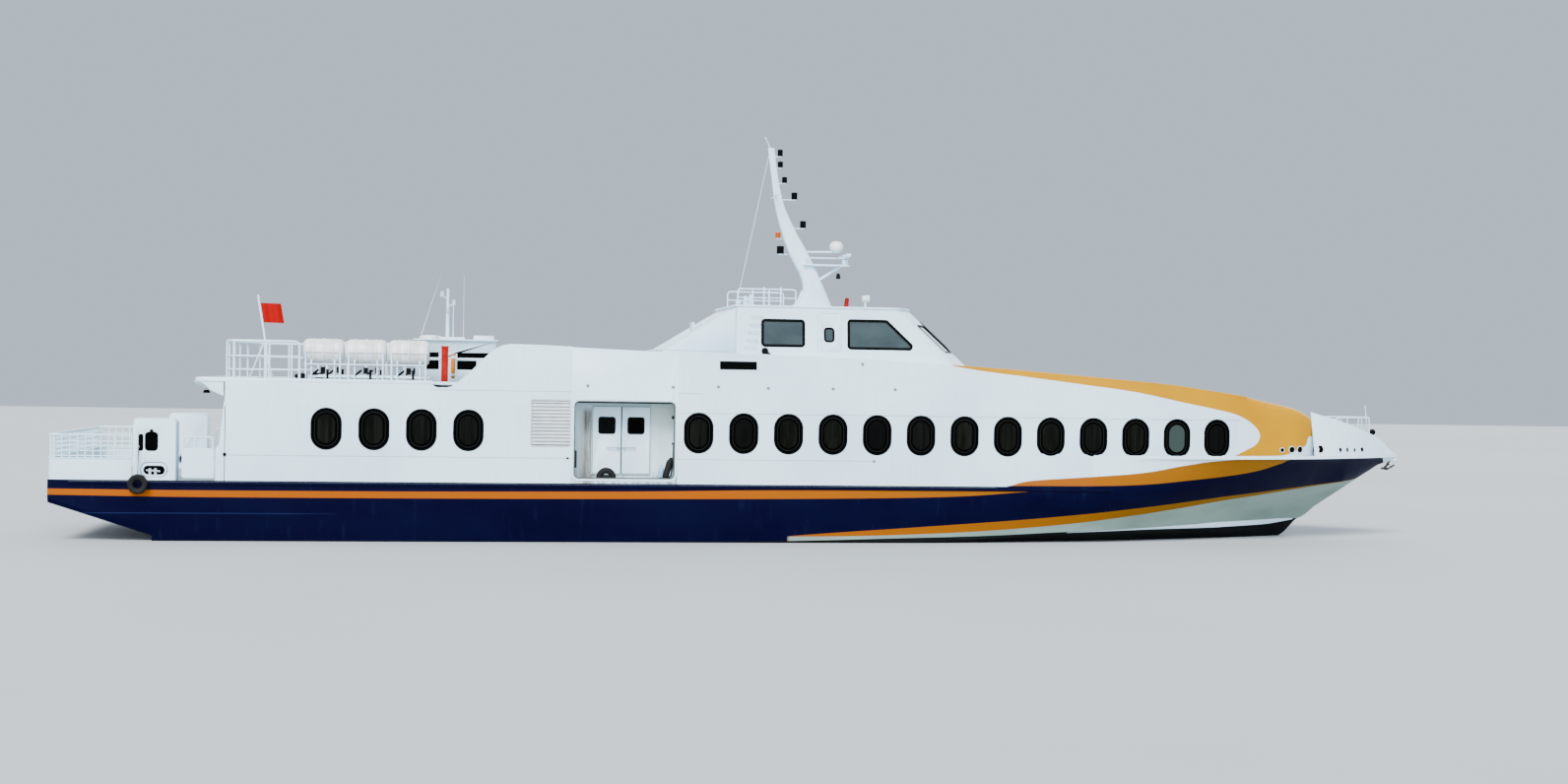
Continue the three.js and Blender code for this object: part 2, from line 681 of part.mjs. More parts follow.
// The sloping fairing abaft the wheelhouse, hollow over the companionway.
function companionFairing() {
  const half = 2420;
  const slope = (y0, y1, inset) => profile([
    [RAISED_HOUSE_X + 60 + 2.6 * inset, 4800],
    [RAISED_HOUSE_X + 60 + 2.6 * inset, 5260 - 0.3 * inset],
    [WHEELHOUSE_AFT_X - GAP, WHEELHOUSE_ROOF_Z - 40 - 1.1 * inset],
    [WHEELHOUSE_AFT_X - GAP, 4800],
  ], y0, y1);
  const way = box(-3600, COMPANION.x, -420, 420, 4000, 7000);
  const bed = roofBody(-3000, ROOF_THICK + GAP);
  const stair = box(COMPANION.x, -1300, -380, 380, 4000, COMPANION.z1 - 60);
  const lean = slope(-half, half, 0);
  return cut(lean, [slope(-half + WALL, -480, WALL), slope(480, half - WALL, WALL), way, stair, bed]);
}
piece("companion_fairing", companionFairing(), "white");

function wheelhouseRoof() {
  const { front, corner, nose: bluff, half, z } = WHEELHOUSE_HEAD;
  const plan = (grow) => [
    [WHEELHOUSE_AFT_X - 20, -half - grow],
    [corner + grow, -half - grow],
    [front + grow, -bluff],
    [front + grow, bluff],
    [corner + grow, half + grow],
    [WHEELHOUSE_AFT_X - 20, half + grow],
  ];
  const slab = plate(plan(30), z + GAP, z + 60);
  const posts = ROOF_POSTS.map(([x, y, height, radius]) =>
    bar([x, y, z + 40], [x, y, z + height], radius, 5));
  const roofRails = SIDES.map(([, sign]) => rail([
    [-1150, 1150 * sign, z + 40],
    [-1060, 1150 * sign, 7090],
    [500, 1150 * sign, 7120],
    [540, 1150 * sign, z + 40],
  ], 16, 4));
  return join([slab, ...posts, ...roofRails]);
}

// Posts and aerials on the wheelhouse roof: x, y, height above the roof, radius
const ROOF_POSTS = [
  [-390, -1150, 560, 14],
  [100, -1150, 560, 14],
  [-390, 1150, 560, 14],
  [100, 1150, 560, 14],
  [-700, -600, 420, 60],
  [-700, 600, 420, 60],
  [2450, -900, 380, 45],
  [2010, 900, 330, 60],
];
piece("wheelhouse_roof", wheelhouseRoof(), "white");

// Doors of the wheelhouse, one on each side, hinged at the forward edge.
function wheelhouseDoor() {
  const { x0, x1, z0, z1 } = WHEELHOUSE_DOOR;
  const slope = (WHEELHOUSE_FOOT.half - WHEELHOUSE_HEAD.half) / (WHEELHOUSE_HEAD.z - WHEELHOUSE_FOOT.z);
  const sideAt = (z) => -WHEELHOUSE_FOOT.half + (z - WHEELHOUSE_FOOT.z) * slope;
  const leaf = section([
    [sideAt(z0) - 6, z0 + 6],
    [sideAt(z0) + 38, z0 + 6],
    [sideAt(z1) + 38, z1 - 6],
    [sideAt(z1) - 6, z1 - 6],
  ], x0 + 6, x1 - 6);
  const light = profile(roundRect(1290, 5810, 260, 380, 60, 3), -3000, -2000);
  const knob = bar([x0 + 80, sideAt(5700) - 55, 5620], [x0 + 80, sideAt(5700) - 55, 5780], 12, 6);
  const stem = bar([x0 + 80, sideAt(5700) - 60, 5700], [x0 + 80, sideAt(5700) + 10, 5700], 9, 6);
  return join([cut(leaf, [light]), knob, stem]);
}
for (const [side, sign] of SIDES) {
  piece(`wheelhouse_door_${side}`, mirrorY(wheelhouseDoor(), sign), "white");
}

function companionDoor() {
  const { halfWidth, z0, z1, x } = COMPANION;
  const leaf = box(x - 47, x - 2, -halfWidth + 5, halfWidth - 5, z0 + 960, z1);
  const handle = bar([x - 90, -300, 5650], [x - 90, -300, 5850], 13, 6);
  const feet = [5670, 5830].map((z) => bar([x - 92, -300, z], [x - 30, -300, z], 9, 6));
  return join([leaf, handle, ...feet]);
}
piece("companion_door", companionDoor(), "white");

// The raked pylon mast on the centreline: height, after edge, forward edge, half-width
const MAST = [
  [WHEELHOUSE_ROOF_Z + 60 + GAP, 640, 1820, 230],
  [7210, 930, 1560, 190],
  [8330, 450, 1010, 130],
  [8820, 270, 720, 105],
  [9730, 40, 300, 70],
  [10450, -60, 140, 50],
  [11310, -175, 10, 32],
];

function mast() {
  const pylon = loft(MAST.map(([z, aft, fore, half]) => [
    [aft + 0.2 * (fore - aft), -half, z],
    [fore - 0.25 * (fore - aft), -half, z],
    [fore, -0.35 * half, z],
    [fore, 0.35 * half, z],
    [fore - 0.25 * (fore - aft), half, z],
    [aft + 0.2 * (fore - aft), half, z],
    [aft, 0.35 * half, z],
    [aft, -0.35 * half, z],
  ]));
  const platform = plate([[900, -260], [2280, -180], [2280, 180], [900, 260]], 7890, 7930);
  const strut = bar([1150, 0, 7300], [2050, 0, 7900], 35);
  const pedestal = bar([2180, 0, 7930 - 5], [2180, 0, 8085], 90, 12);
  const bracket = bar([700, 0, 8280], [1910, 0, 8310], 30);
  const domeSeat = bar([1910, 0, 8290], [1910, 0, 8340], 120, 12);
  const topPost = bar([-90, 0, 11250], [-260, 0, 11630], 14, 6);
  const yard = bar([60, -750, 9900], [60, 750, 9900], 22);
  const fore = MAST.map(([z, , edge]) => [z, edge]);
  const lamps = MAST_LAMPS.map(([x, z, radius, height]) => join([
    bar([x, 0, z - height / 2], [x, 0, z + height / 2], radius, 8),
    bar([x, 0, z - height / 2 + 10], [along(fore, z) - 40, 0, z - height / 2 + 10], 16, 4),
  ]));
  const stay = bar([-120, 0, 11200], [-1050, 0, MAST[0][0] + 6], 7, 4);
  return join([pylon, platform, strut, pedestal, bracket, domeSeat, topPost, yard, stay, ...lamps]);
}

// Lamps carried on the forward edge of the mast: x, z, radius, height
const MAST_LAMPS = [
  [190, 11170, 65, 190],
  [200, 10830, 65, 170],
  [330, 10380, 65, 170],
  [630, 9920, 75, 200],
  [900, 9090, 75, 200],
  [160, 8760, 60, 150],
  [240, 8330, 60, 150],
];
piece("mast", mast(), "white");

// The radar: an open array that turns on its pedestal, and a closed dome above it.
const SCANNER = { x: 2180, z: 8100, length: 1250 };
function radarScanner() {
  const hub = bar([SCANNER.x, 0, SCANNER.z], [SCANNER.x, 0, SCANNER.z + 90], 80, 12);
  const { length } = SCANNER;
  const array = section([[-length / 2, 8150], [length / 2, 8150], [length / 2, 8235], [-length / 2, 8235]],
    SCANNER.x - 60, SCANNER.x + 60);
  return join([hub, array]);
}
piece("radar_scanner", radarScanner(), "white");

function radarDome() {
  const points = [[0, 0], [170, 0], [200, 60], [200, 160], [150, 240], [70, 280], [0, 290]];
  const geometry = new THREE.LatheGeometry(points.map(([r, z]) => new THREE.Vector2(r, z)), 20);
  return solid(geometry.rotateX(Math.PI / 2).translate(1910, 0, 8340 + GAP));
}
piece("radar_dome", radarDome(), "white");

// The short mast aft, with lamps, a crossbar and two whip aerials on one foot.
function aftMast() {
  const x = -9360;
  const z = HOOD.z1 + 30 + GAP;
  return join([
    bar([x, 0, z], [x, 0, 6980], 48, 10, 30),
    bar([x, -420, 6300], [x, 420, 6300], 18),
    bar([x, 0, 6740], [x, 0, 6900], 85, 8),
    bar([x + 60, 0, 6420], [x + 60, 0, 6560], 70, 8),
    bar([-10150, 0, z + 50], [-8870, 0, z + 50], 40),
    bar([-8910, 0, z + 50], [-8910, 0, 7350], 12, 4),
    bar([-9200, 0, z + 50], [-9200, 0, 6650], 14, 4),
    bar([-10120, 0, z + 50], [-9570, 0, 7350], 12, 4),
    bar([x, -420, 6280], [x, -420, 6440], 45, 6),
    bar([x, 420, 6280], [x, 420, 6440], 45, 6),
  ]);
}
piece("aft_mast", aftMast(), "white");

// The after railing of the upper deck: heights of its rails
const RAIL_HEIGHTS = [4580, 4940, 5340];
const UPPER_RAIL = { forward: -13200, side: 3290, corner: -14930, quarter: [-15280, 2500], aft: -15480, aftHalf: 1250 };

function upperRail() {
  const { forward, side, corner, quarter, aft, aftHalf } = UPPER_RAIL;
  const [quarterX, quarterY] = quarter;
  const route = (z) => [
    [forward, -side, z], [corner, -side, z], [quarterX, -quarterY, z], [aft, -aftHalf, z],
    [aft, aftHalf, z], [quarterX, quarterY, z], [corner, side, z], [forward, side, z],
  ];
  const rails = RAIL_HEIGHTS.map((z, i) => rail(route(z), i === 2 ? 24 : 16, 4));
  const places = [];
  for (const sign of [-1, 1]) {
    for (const x of [forward, -14060, corner]) places.push([x, side * sign]);
    places.push([quarterX, quarterY * sign], [aft, aftHalf * sign]);
  }
  places.push([aft, 0]);
  const foot = UPPER_DECK_Z + 30;
  const posts = places.map(([x, y]) => bar([x, y, foot], [x, y, RAIL_HEIGHTS[2]], 20, 4));
  return join([...rails, ...posts]);
}
piece("upper_deck_rail", upperRail(), "white");

// The ensign staff on its tripod, and the plain red ensign.
const STAFF = { x: -14427, bend: 5400, topX: -14640, y: 0, top: 6655 };
function ensignStaff() {
  const z = UPPER_DECK_Z + GAP;
  const { x, bend, topX, y, top } = STAFF;
  return join([
    bar([x, y, z], [x, y, bend], 24),
    bar([x, y, bend - 10], [topX, y, top], 18),
    bar([x - 425, y, z + 6], [x - 10, y, bend], 14, 4),
    bar([x + 195, y - 200, z + 6], [x - 5, y, bend - 60], 14, 4),
    bar([x + 195, y + 200, z + 6], [x - 5, y, bend - 60], 14, 4),
  ]);
}
piece("ensign_staff", ensignStaff(), "white");

const ENSIGN = { fly: -13960, z0: 5900, z1: 6460, thick: 24, clearance: 30 };
function ensign() {
  const { fly, z0, z1, thick, clearance } = ENSIGN;
  const { x, bend, topX, y, top } = STAFF;
  const waves = [[0, 0], [0.25, 30], [0.5, -30], [0.75, 34], [1, 0]];
  const ring = (z) => {
    const hoist = x + ((topX - x) * (z - bend)) / (top - bend) + clearance;
    const edge = (offset) => waves.map(([share, wave]) => [hoist + share * (fly - hoist), y + wave + offset, z]);
    return [...edge(-thick / 2), ...edge(thick / 2).reverse()];
  };
  return loft([ring(z0), ring(z1)]);
}
piece("ensign", ensign(), "red");

// Liferafts: three canisters in a cradle on each side
const RAFTS = { first: -12600, pitch: 1130, count: 3, y: 2830, z: 5085, radius: 345, length: 1090 };

function raftCanister(x, y) {
  const { radius, length, z } = RAFTS;
  const points = [[0, 0], [0.75, 0], [1, 0.15], [1, 0.47], [1.06, 0.5], [1, 0.53], [1, 0.85], [0.75, 1], [0, 1]];
  const shape = points.map(([r, l]) => new THREE.Vector2(r * radius, (l - 0.5) * length));
  const geometry = new THREE.LatheGeometry(shape, 14);
  return solid(geometry.rotateZ(-Math.PI / 2).translate(x, y, z));
}

function raftCradle(y) {
  const { first, pitch, count, z } = RAFTS;
  const floor = UPPER_DECK_Z + GAP;
  const bars = [];
  const beam = (dy) => bar([first - 560, y + dy, floor + 90], [first + pitch * (count - 1) + 560, y + dy, floor + 90], 30);
  bars.push(beam(-260), beam(260));
  for (let i = 0; i < count; i++) {
    for (const dx of [-300, 300]) {
      const x = first + i * pitch + dx;
      bars.push(section([
        [y - 310, floor],
        [y + 310, floor],
        [y + 310, z - 206],
        [y + 220, z - 306],
        [y + 115, z - 362],
        [y, z - 380],
        [y - 115, z - 362],
        [y - 220, z - 306],
        [y - 310, z - 206],
      ], x - 20, x + 20));
    }
  }
  return join(bars);
}

for (const [side, sign] of SIDES) {
  const { first, pitch, count, y } = RAFTS;
  piece(`raft_cradle_${side}`, raftCradle(y * sign), "alloy");
  for (let i = 0; i < count; i++) {
    piece(`liferaft_${side}_${i + 1}`, raftCanister(first + i * pitch, y * sign), "white");
  }
}

// The engine-room air hood amidships on the upper deck, with slots under its flat top.
function airHood() {
  const z = UPPER_DECK_Z + GAP;
  const { x0, x1, half, z1 } = HOOD;
  // Slots in each side: first x, last x, lowest z, highest z
  const slots = [
    [-9960, -9560, 4990, 5130],
    [-9060, -8200, 4990, 5130],
    [-9960, -9560, 4660, 4910],
    [-9060, -8530, 4660, 4910],
  ].flatMap(([a, b, low, high]) => SIDES.map(([, sign]) =>
    box(a, b, Math.min(sign * half, sign * (half - 350)) - 1, Math.max(sign * half, sign * (half - 350)) + 1, low, high)));
  const body = cut(box(x0, x1, -half, half, z, z1), slots);
  const lid = plate(roundRect((x0 + x1) / 2, 0, x1 - x0 + 160, 2 * half + 160, 120, 3), z1 - 10, z1 + 30);
  const units = [-1150, 0, 1150].map((y) => box(-8620, -8060, y - 420, y + 420, z1 + 20, z1 + 150));
  return join([body, lid, ...units]);
}
piece("air_hood", airHood(), "white");

function extinguisherLocker() {
  const z = UPPER_DECK_Z + GAP;
  const place = [-9385, -2750];
  return join([
    plate(roundRect(...place, 180, 360, 40, 3), z, 5260),
    plate(roundRect(...place, 205, 385, 50, 3), 5250, 5300),
  ]);
}
piece("fire_locker", extinguisherLocker(), "red");

// Benches on the open upper deck, back to back along the centreline.
function bench(sign) {
  const z = UPPER_DECK_Z + GAP;
  const side = (y0, y1) => (sign > 0 ? [y0, y1] : [-y1, -y0]);
  const [s0, s1] = side(80, 520);
  const [b0, b1] = side(60, 110);
  const legs = [-7200, -5700, -4300].map((x) => {
    const [l0, l1] = side(90, 480);
    return box(x - 25, x + 25, l0, l1, z, 4745);
  });
  return join([box(-7400, -4100, s0, s1, 4740, 4790), box(-7400, -4100, b0, b1, 4780, 5190), ...legs]);
}
for (const [side, sign] of SIDES) piece(`deck_bench_${side}`, bench(sign), "orange");

// Lifebuoys, each hung facing aft on a post of the upper deck
const LIFEBUOY = { x: -9160, y: LIFEBUOY_POST.y, z: 4760 };
function lifebuoy(sign) {
  const ring = new THREE.TorusGeometry(290, 55, 6, 18);
  return solid(ring.rotateY(Math.PI / 2).translate(LIFEBUOY.x, sign * LIFEBUOY.y, LIFEBUOY.z));
}
for (const [side, sign] of SIDES) piece(`lifebuoy_${side}`, lifebuoy(sign), "orange");

// The after deck: a low bulwark round the stern, with lockers and boarding gates at the sides.
const GATE = { x0: -16200, x1: -15340, z0: 1640, z1: 2470 };
const LOCKER = { x0: -17420, x1: -16340, z1: 3240, depth: 620 };

function sternRoute(inset, z) {
  const side = HALF_BEAM - inset;
  const end = STERN_X + inset;
  return [
    [LOCKER.x0 - 40, -side, z], [end + 110, -side, z], [end, -side + 80, z],
    [end, side - 80, z], [end + 110, side, z], [LOCKER.x0 - 40, side, z],
  ];
}

function sternBulwark() {
  const outer = sternRoute(15, 0).map(([x, y]) => [x, y]);
  const inner = sternRoute(65, 0).map(([x, y]) => [x, y]).reverse();
  return plate([...outer, ...inner], DECK_Z + GAP, 2200);
}

function sternRail() {
  const rails = [2500, 2800].map((z, i) => rail(sternRoute(40, z), i ? 22 : 14, 4));
  const posts = [];
  const corners = sternRoute(40, 2190);
  for (let i = 1; i < corners.length; i++) {
    const [ax, ay] = corners[i - 1];
    const [bx, by] = corners[i];
    const count = Math.max(1, Math.round(Math.hypot(bx - ax, by - ay) / 480));
    for (let k = i === 1 ? 0 : 1; k <= count; k++) {
      const x = ax + ((bx - ax) * k) / count;
      const y = ay + ((by - ay) * k) / count;
      posts.push(bar([x, y, 2180], [x, y, 2800], 11, 4));
    }
  }
  return join([sternBulwark(), ...rails, ...posts]);
}
piece("stern_bulwark_rail", sternRail(), "white");

function sideLocker() {
  const { x0, x1, z1, depth } = LOCKER;
  const side = -HALF_BEAM + 12;
  const body = profile([
    [x0, DECK_Z + GAP], [x1, DECK_Z + GAP], [x1, z1 - 90], [x1 - 90, z1], [x0 + 60, z1], [x0, z1 - 60],
  ], side, side + depth);
  const openings = [
    box(x0 - 100, x0 + 220, side + 130, side + depth - 90, 2420, 2840),
    profile(roundRect(-17230, 2610, 100, 420, 40, 2), side - 50, side + 250),
    profile(roundRect(-16960, 2640, 310, 480, 90, 2), side - 50, side + depth - 80),
    profile(roundRect(-16885, 1880, 560, 250, 120, 4), side - 50, side + depth + 50),
  ];
  return cut(body, openings);
}
function boardingGate() {
  const { x0, x1, z0, z1 } = GATE;
  const y = -HALF_BEAM + 45;
  const panel = profile(roundRect((x0 + x1) / 2, (z0 + z1) / 2 + 20, x1 - x0 - 24, z1 - z0 - 40, 60, 3), y - 15, y + 15);
  const guard = rail([[x0 + 60, y, z1 - 40], [x0 + 60, y, 2770], [x1 - 60, y, 2770], [x1 - 60, y, z1 - 40]], 16, 6);
  return join([panel, guard]);
}
for (const [side, sign] of SIDES) {
  piece(`side_locker_${side}`, mirrorY(sideLocker(), sign), "white");
  piece(`boarding_gate_${side}`, mirrorY(boardingGate(), sign), "white");
}

// The tyre fender hung against the quarter.
const FENDER = { x: -17280, z: 1520, ring: 185, tube: 78 };
function tyreFender() {
  const ring = new THREE.TorusGeometry(FENDER.ring, FENDER.tube, 8, 18);
  return solid(ring.rotateX(Math.PI / 2).translate(FENDER.x, -HALF_BEAM - 40 - FENDER.tube - 3, FENDER.z));
}
piece("tyre_fender", tyreFender(), "rubber");

// Bow fittings: the pulpit rail with the jackstaff, the windlass and the anchor.
function pulpit() {
  const z = FOREDECK_Z + GAP;
  const legs = [[17500, 571], [18150, 380], [18560, 260]];
  const bars = [];
  for (const sign of [-1, 1]) {
    bars.push(rail([[17400, 600 * sign, 3640], [18560, 260 * sign, 3640]], 20, 4));
    for (const [x, y] of legs) bars.push(bar([x, y * sign, z], [x, y * sign, 3640], 16, 4));
  }
  bars.push(rail([[18560, -260, 3640], [18560, 260, 3640]], 20, 4));
  bars.push(bar([18700, 0, z + 8], [18540, 0, 4020], 20, 6));
  bars.push(bar([18560, 0, 3640], [18680, 0, 3640], 18, 6));
  return join(bars);
}
piece("bow_pulpit", pulpit(), "white");

function windlass() {
  const z = FOREDECK_Z + GAP;
  return join([
    box(17700, 18250, -200, 200, z, z + 120),
    bar([17980, -300, z + 290], [17980, 300, z + 290], 130, 12),
    box(17860, 18100, -90, 90, z + 100, z + 480),
    bar([18350, 0, z], [18350, 0, z + 460], 90, 10),
    box(18100, 18400, -60, 60, z, z + 80),
  ]);
}
piece("windlass", windlass(), "black");

function anchor() {
  const fluke = [[19190, 2060], [19220, 2050], [19460, 2190], [19450, 2215], [19370, 2190]];
  const body = join([
    bar([19225, 0, 2090], [19400, 0, 2360], 32),
    bar([19215, -200, 2080], [19215, 200, 2080], 38),
    profile(fluke, -215, -155),
    profile(fluke, 155, 215),
  ]);
  return cut(body, [hull().translate([0, 0, -GAP])]);
}
piece("anchor", anchor(), "black");

// Sterngear: shaft, bracket, screw and rudder on each side
const SHAFT = { y: 1500, z: -1330, screwX: -15700, hullX: -10800, hullZ: -820, radius: 48 };
const SCREW = { radius: 430, hub: 95, blades: 4 };
const RUDDER = { x: -16500, z0: -1720, z1: -790, chord: 560, thick: 70 };
const SHAFT_SLOPE = (SHAFT.hullZ - SHAFT.z) / (SHAFT.hullX - SHAFT.screwX);

// The hull's flat bottom stands over the sterngear: its height at a point, from the keel to the chine.
function bottomZ(x, y) {
  const keel = along(HULL.map(([hx, keelZ]) => [hx, keelZ]), x);
  const chine = along(HULL.map(([hx, , , chineZ]) => [hx, chineZ]), x);
  const half = along(HULL.map(([hx, , chineY]) => [hx, chineY]), x);
  return keel + (chine - keel) * (Math.abs(y) / half);
}

function shaftLine(y) {
  const at = (x) => [x, y, SHAFT.z + (x - SHAFT.screwX) * SHAFT_SLOPE];
  const line = bar(at(SHAFT.screwX + 170), at(SHAFT.hullX + 300), SHAFT.radius, 12);
  const boss = bar(at(SHAFT.screwX + 170), at(SHAFT.screwX + 520), 85, 12);
  const bossAt = at(SHAFT.screwX + 350);
  const legs = [-260, 260].map((dy) => {
    const head = bottomZ(bossAt[0], y + dy);
    return bar(bossAt, [bossAt[0] + 40, y + dy, head + 40], 34, 8);
  });
  return join([line, boss, ...legs]);
}

function screw(y) {
  const hub = bar([-150, 0, 0], [150, 0, 0], SCREW.hub, 16);
  const cap = bar([-260, 0, 0], [-140, 0, 0], 40, 12, 90);
  const blade = (turn) => {
    const rings = [[70, 40, 0.75], [210, 175, 0.95], [340, 165, 1.15], [SCREW.radius, 60, 1.3]];
    const body = loft(rings.map(([r, half, pitch]) => {
      const c = Math.cos(pitch);
      const s = Math.sin(pitch);
      const thick = 12;
      return [[-half, -thick], [half, -thick], [half, thick], [-half, thick]].map(([a, b]) => [
        a * c - b * s, a * s + b * c, r,
      ]);
    }));
    return body.rotate([turn, 0, 0]);
  };
  const blades = Array.from({ length: SCREW.blades }, (_, i) => blade((i * 360) / SCREW.blades));
  const slope = (Math.atan(SHAFT_SLOPE) * 180) / Math.PI;
  return join([hub, cap, ...blades]).rotate([0, -slope, 0]).translate([SHAFT.screwX, y, SHAFT.z]);
}

function rudder(y) {
  const { x, z0, z1, chord, thick } = RUDDER;
  const blade = (z, share) => {
    const lead = x + chord * 0.28 * share;
    const trail = x - chord * 0.72 * share;
    return [
      [lead, y - 8, z], [lead, y + 8, z], [x, y + thick / 2, z], [trail, y + 5, z], [trail, y - 5, z], [x, y - thick / 2, z],
    ];
  };
  const stock = bar([x, y, z1 - 100], [x, y, bottomZ(x, y) - 30], 45, 8);
  return join([loft([blade(z0, 0.82), blade(z1, 1)]), stock]);
}

for (const [side, sign] of SIDES) {
  const y = SHAFT.y * sign;
  piece(`shaft_line_${side}`, cut(shaftLine(y), [hull().translate([0, 0, -GAP])]), "alloy");
  piece(`propeller_${side}`, screw(y), "bronze");
  piece(`rudder_${side}`, rudder(y), "alloy");
}

piece("raised_house_bulkhead", raisedBulkhead(), "white");

export default ship;
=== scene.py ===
# %% [markdown]
# # A fast passenger ferry, dressed for its portrait
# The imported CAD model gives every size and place. This script adds what the solids can't show:
# fair curves, paint, glass, rubber, rope and cloth. Units are metres: X to the bow, Y to port,
# Z up, with the origin amidships at the waterline.

import bisect
import json
import math

import bmesh
import bpy
from mathutils import Matrix, Quaternion, Vector

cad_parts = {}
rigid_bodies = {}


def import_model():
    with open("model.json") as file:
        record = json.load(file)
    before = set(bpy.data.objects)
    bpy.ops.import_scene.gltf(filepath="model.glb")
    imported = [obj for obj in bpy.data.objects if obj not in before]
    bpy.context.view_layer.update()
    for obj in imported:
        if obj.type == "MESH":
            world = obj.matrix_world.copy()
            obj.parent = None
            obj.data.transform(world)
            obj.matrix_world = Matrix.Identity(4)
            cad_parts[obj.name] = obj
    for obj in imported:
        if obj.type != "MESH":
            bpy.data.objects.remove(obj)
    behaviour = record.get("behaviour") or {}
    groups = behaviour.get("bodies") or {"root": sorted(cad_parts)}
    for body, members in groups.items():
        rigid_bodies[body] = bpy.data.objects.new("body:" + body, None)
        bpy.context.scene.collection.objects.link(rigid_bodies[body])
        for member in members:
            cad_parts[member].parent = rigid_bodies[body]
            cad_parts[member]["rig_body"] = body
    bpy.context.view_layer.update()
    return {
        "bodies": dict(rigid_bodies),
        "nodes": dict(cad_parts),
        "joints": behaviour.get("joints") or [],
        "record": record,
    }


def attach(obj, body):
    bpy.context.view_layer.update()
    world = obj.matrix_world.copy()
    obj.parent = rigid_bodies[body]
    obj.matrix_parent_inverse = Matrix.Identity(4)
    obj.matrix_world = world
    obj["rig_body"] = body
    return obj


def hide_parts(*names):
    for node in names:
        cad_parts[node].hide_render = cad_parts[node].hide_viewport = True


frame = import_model()
nodes = frame["nodes"]


def placed(name, data):
    """An object made from its data and put in the scene."""
    made = bpy.data.objects.new(name, data)
    bpy.context.scene.collection.objects.link(made)
    return made



# %% [markdown]
# ## The camera comes first
# The photograph was taken from about 54 m off the starboard side, 4.7 m above the waterline,
# a little abaft the middle. The position and the slight roll were solved from the window pitch,
# the deck line and the stern.

# %% Camera
PHOTO_WIDTH = 1592
FOCAL_PIXELS = 2016.4
SENSOR_WIDTH = 36.0
CAMERA_AT = Vector((-8.6, -57.68, 4.687))
YAW, TILT, ROLL = 0.1551, -0.009, 0.0165

camera_data = bpy.data.cameras.new("photo_camera")
camera = placed("photo_camera", camera_data)
camera_data.sensor_width = SENSOR_WIDTH
camera_data.lens = SENSOR_WIDTH * FOCAL_PIXELS / PHOTO_WIDTH
camera_data.clip_end = 2000
heading = Vector((math.sin(YAW) * math.cos(TILT), math.cos(YAW) * math.cos(TILT), math.sin(TILT)))
camera.rotation_mode = "QUATERNION"
camera.rotation_quaternion = heading.to_track_quat("-Z", "Y") @ Quaternion((0, 0, 1), ROLL)
camera.location = CAMERA_AT
bpy.context.scene.camera = camera
print("lens", round(camera_data.lens, 2), "mm")

# %% [markdown]
# ## Colour and nodes
# Paint makers and photographs give sRGB values, and the shader wants linear light, so one
# function turns hex to linear. Another adds a node with its settings and its links, which keeps
# each material readable as a list of what the surface is made of.

# %% Helpers for materials
def linear(hex_colour):
    """A linear RGBA colour from an sRGB hex value."""
    channels = [int(hex_colour[i : i + 2], 16) / 255 for i in (1, 3, 5)]
    return [c / 12.92 if c <= 0.04045 else ((c + 0.055) / 1.055) ** 2.4 for c in channels] + [1.0]


def add(tree, kind, inputs=None, **settings):
    """One node: inputs maps a socket's name or number to a value or to another node's output."""
    made = tree.nodes.new(kind)
    for name, value in settings.items():
        setattr(made, name, value)
    for key, value in (inputs or {}).items():
        socket = made.inputs[key]
        if isinstance(value, bpy.types.NodeSocket):
            tree.links.new(value, socket)
        else:
            socket.default_value = value
    return made


def new_material(name, **constants):
    """A material with a bare Principled shader, and its constants on the shader's own sockets."""
    material = bpy.data.materials.new(name)
    material.use_nodes = True
    shader = material.node_tree.nodes["Principled BSDF"]
    for key, value in constants.items():
        shader.inputs[key.replace("_", " ")].default_value = value
    return material, material.node_tree, shader


def maths(tree, operation, *values):
    return add(tree, "ShaderNodeMath", dict(enumerate(values)), operation=operation).outputs[0]


def product(tree, first, *others):
    """Shares multiplied with each other."""
    for other in others:
        first = maths(tree, "MULTIPLY", first, other)
    return first


def distance(tree, value, centre):
    """How far a value is from a centre, to either side."""
    return maths(tree, "ABSOLUTE", maths(tree, "SUBTRACT", value, centre))


def diagonal(tree, across, up):
    squares = maths(tree, "ADD", product(tree, across, across), product(tree, up, up))
    return maths(tree, "SQRT", squares)


def mix(tree, share, first, second):
    """Two colours mixed. The colour sockets of a mix node are its inputs 6 and 7 and output 2."""
    inputs = {0: share, 6: first, 7: second}
    return add(tree, "ShaderNodeMix", inputs, data_type="RGBA").outputs[2]


def noise(tree, where, scale, detail=3.0, roughness=0.5):
    inputs = {"Vector": where, "Scale": scale, "Detail": detail, "Roughness": roughness}
    return add(tree, "ShaderNodeTexNoise", inputs).outputs["Fac"]


def stretch(tree, where, factors):
    inputs = {"Vector": where, "Scale": factors}
    return add(tree, "ShaderNodeMapping", inputs).outputs[0]


def ramp(tree, value, low, high, low_to=0.0, high_to=1.0):
    """A value moved from one range to another, held at the ends."""
    inputs = {0: value, 1: low, 2: high, 3: low_to, 4: high_to}
    return add(tree, "ShaderNodeMapRange", inputs).outputs[0]


def place(tree):
    """Object coordinates: the point itself, and its x, y and z in metres."""
    where = add(tree, "ShaderNodeTexCoord").outputs["Object"]
    split = add(tree, "ShaderNodeSeparateXYZ", {0: where})
    return where, split.outputs[0], split.outputs[1], split.outputs[2]


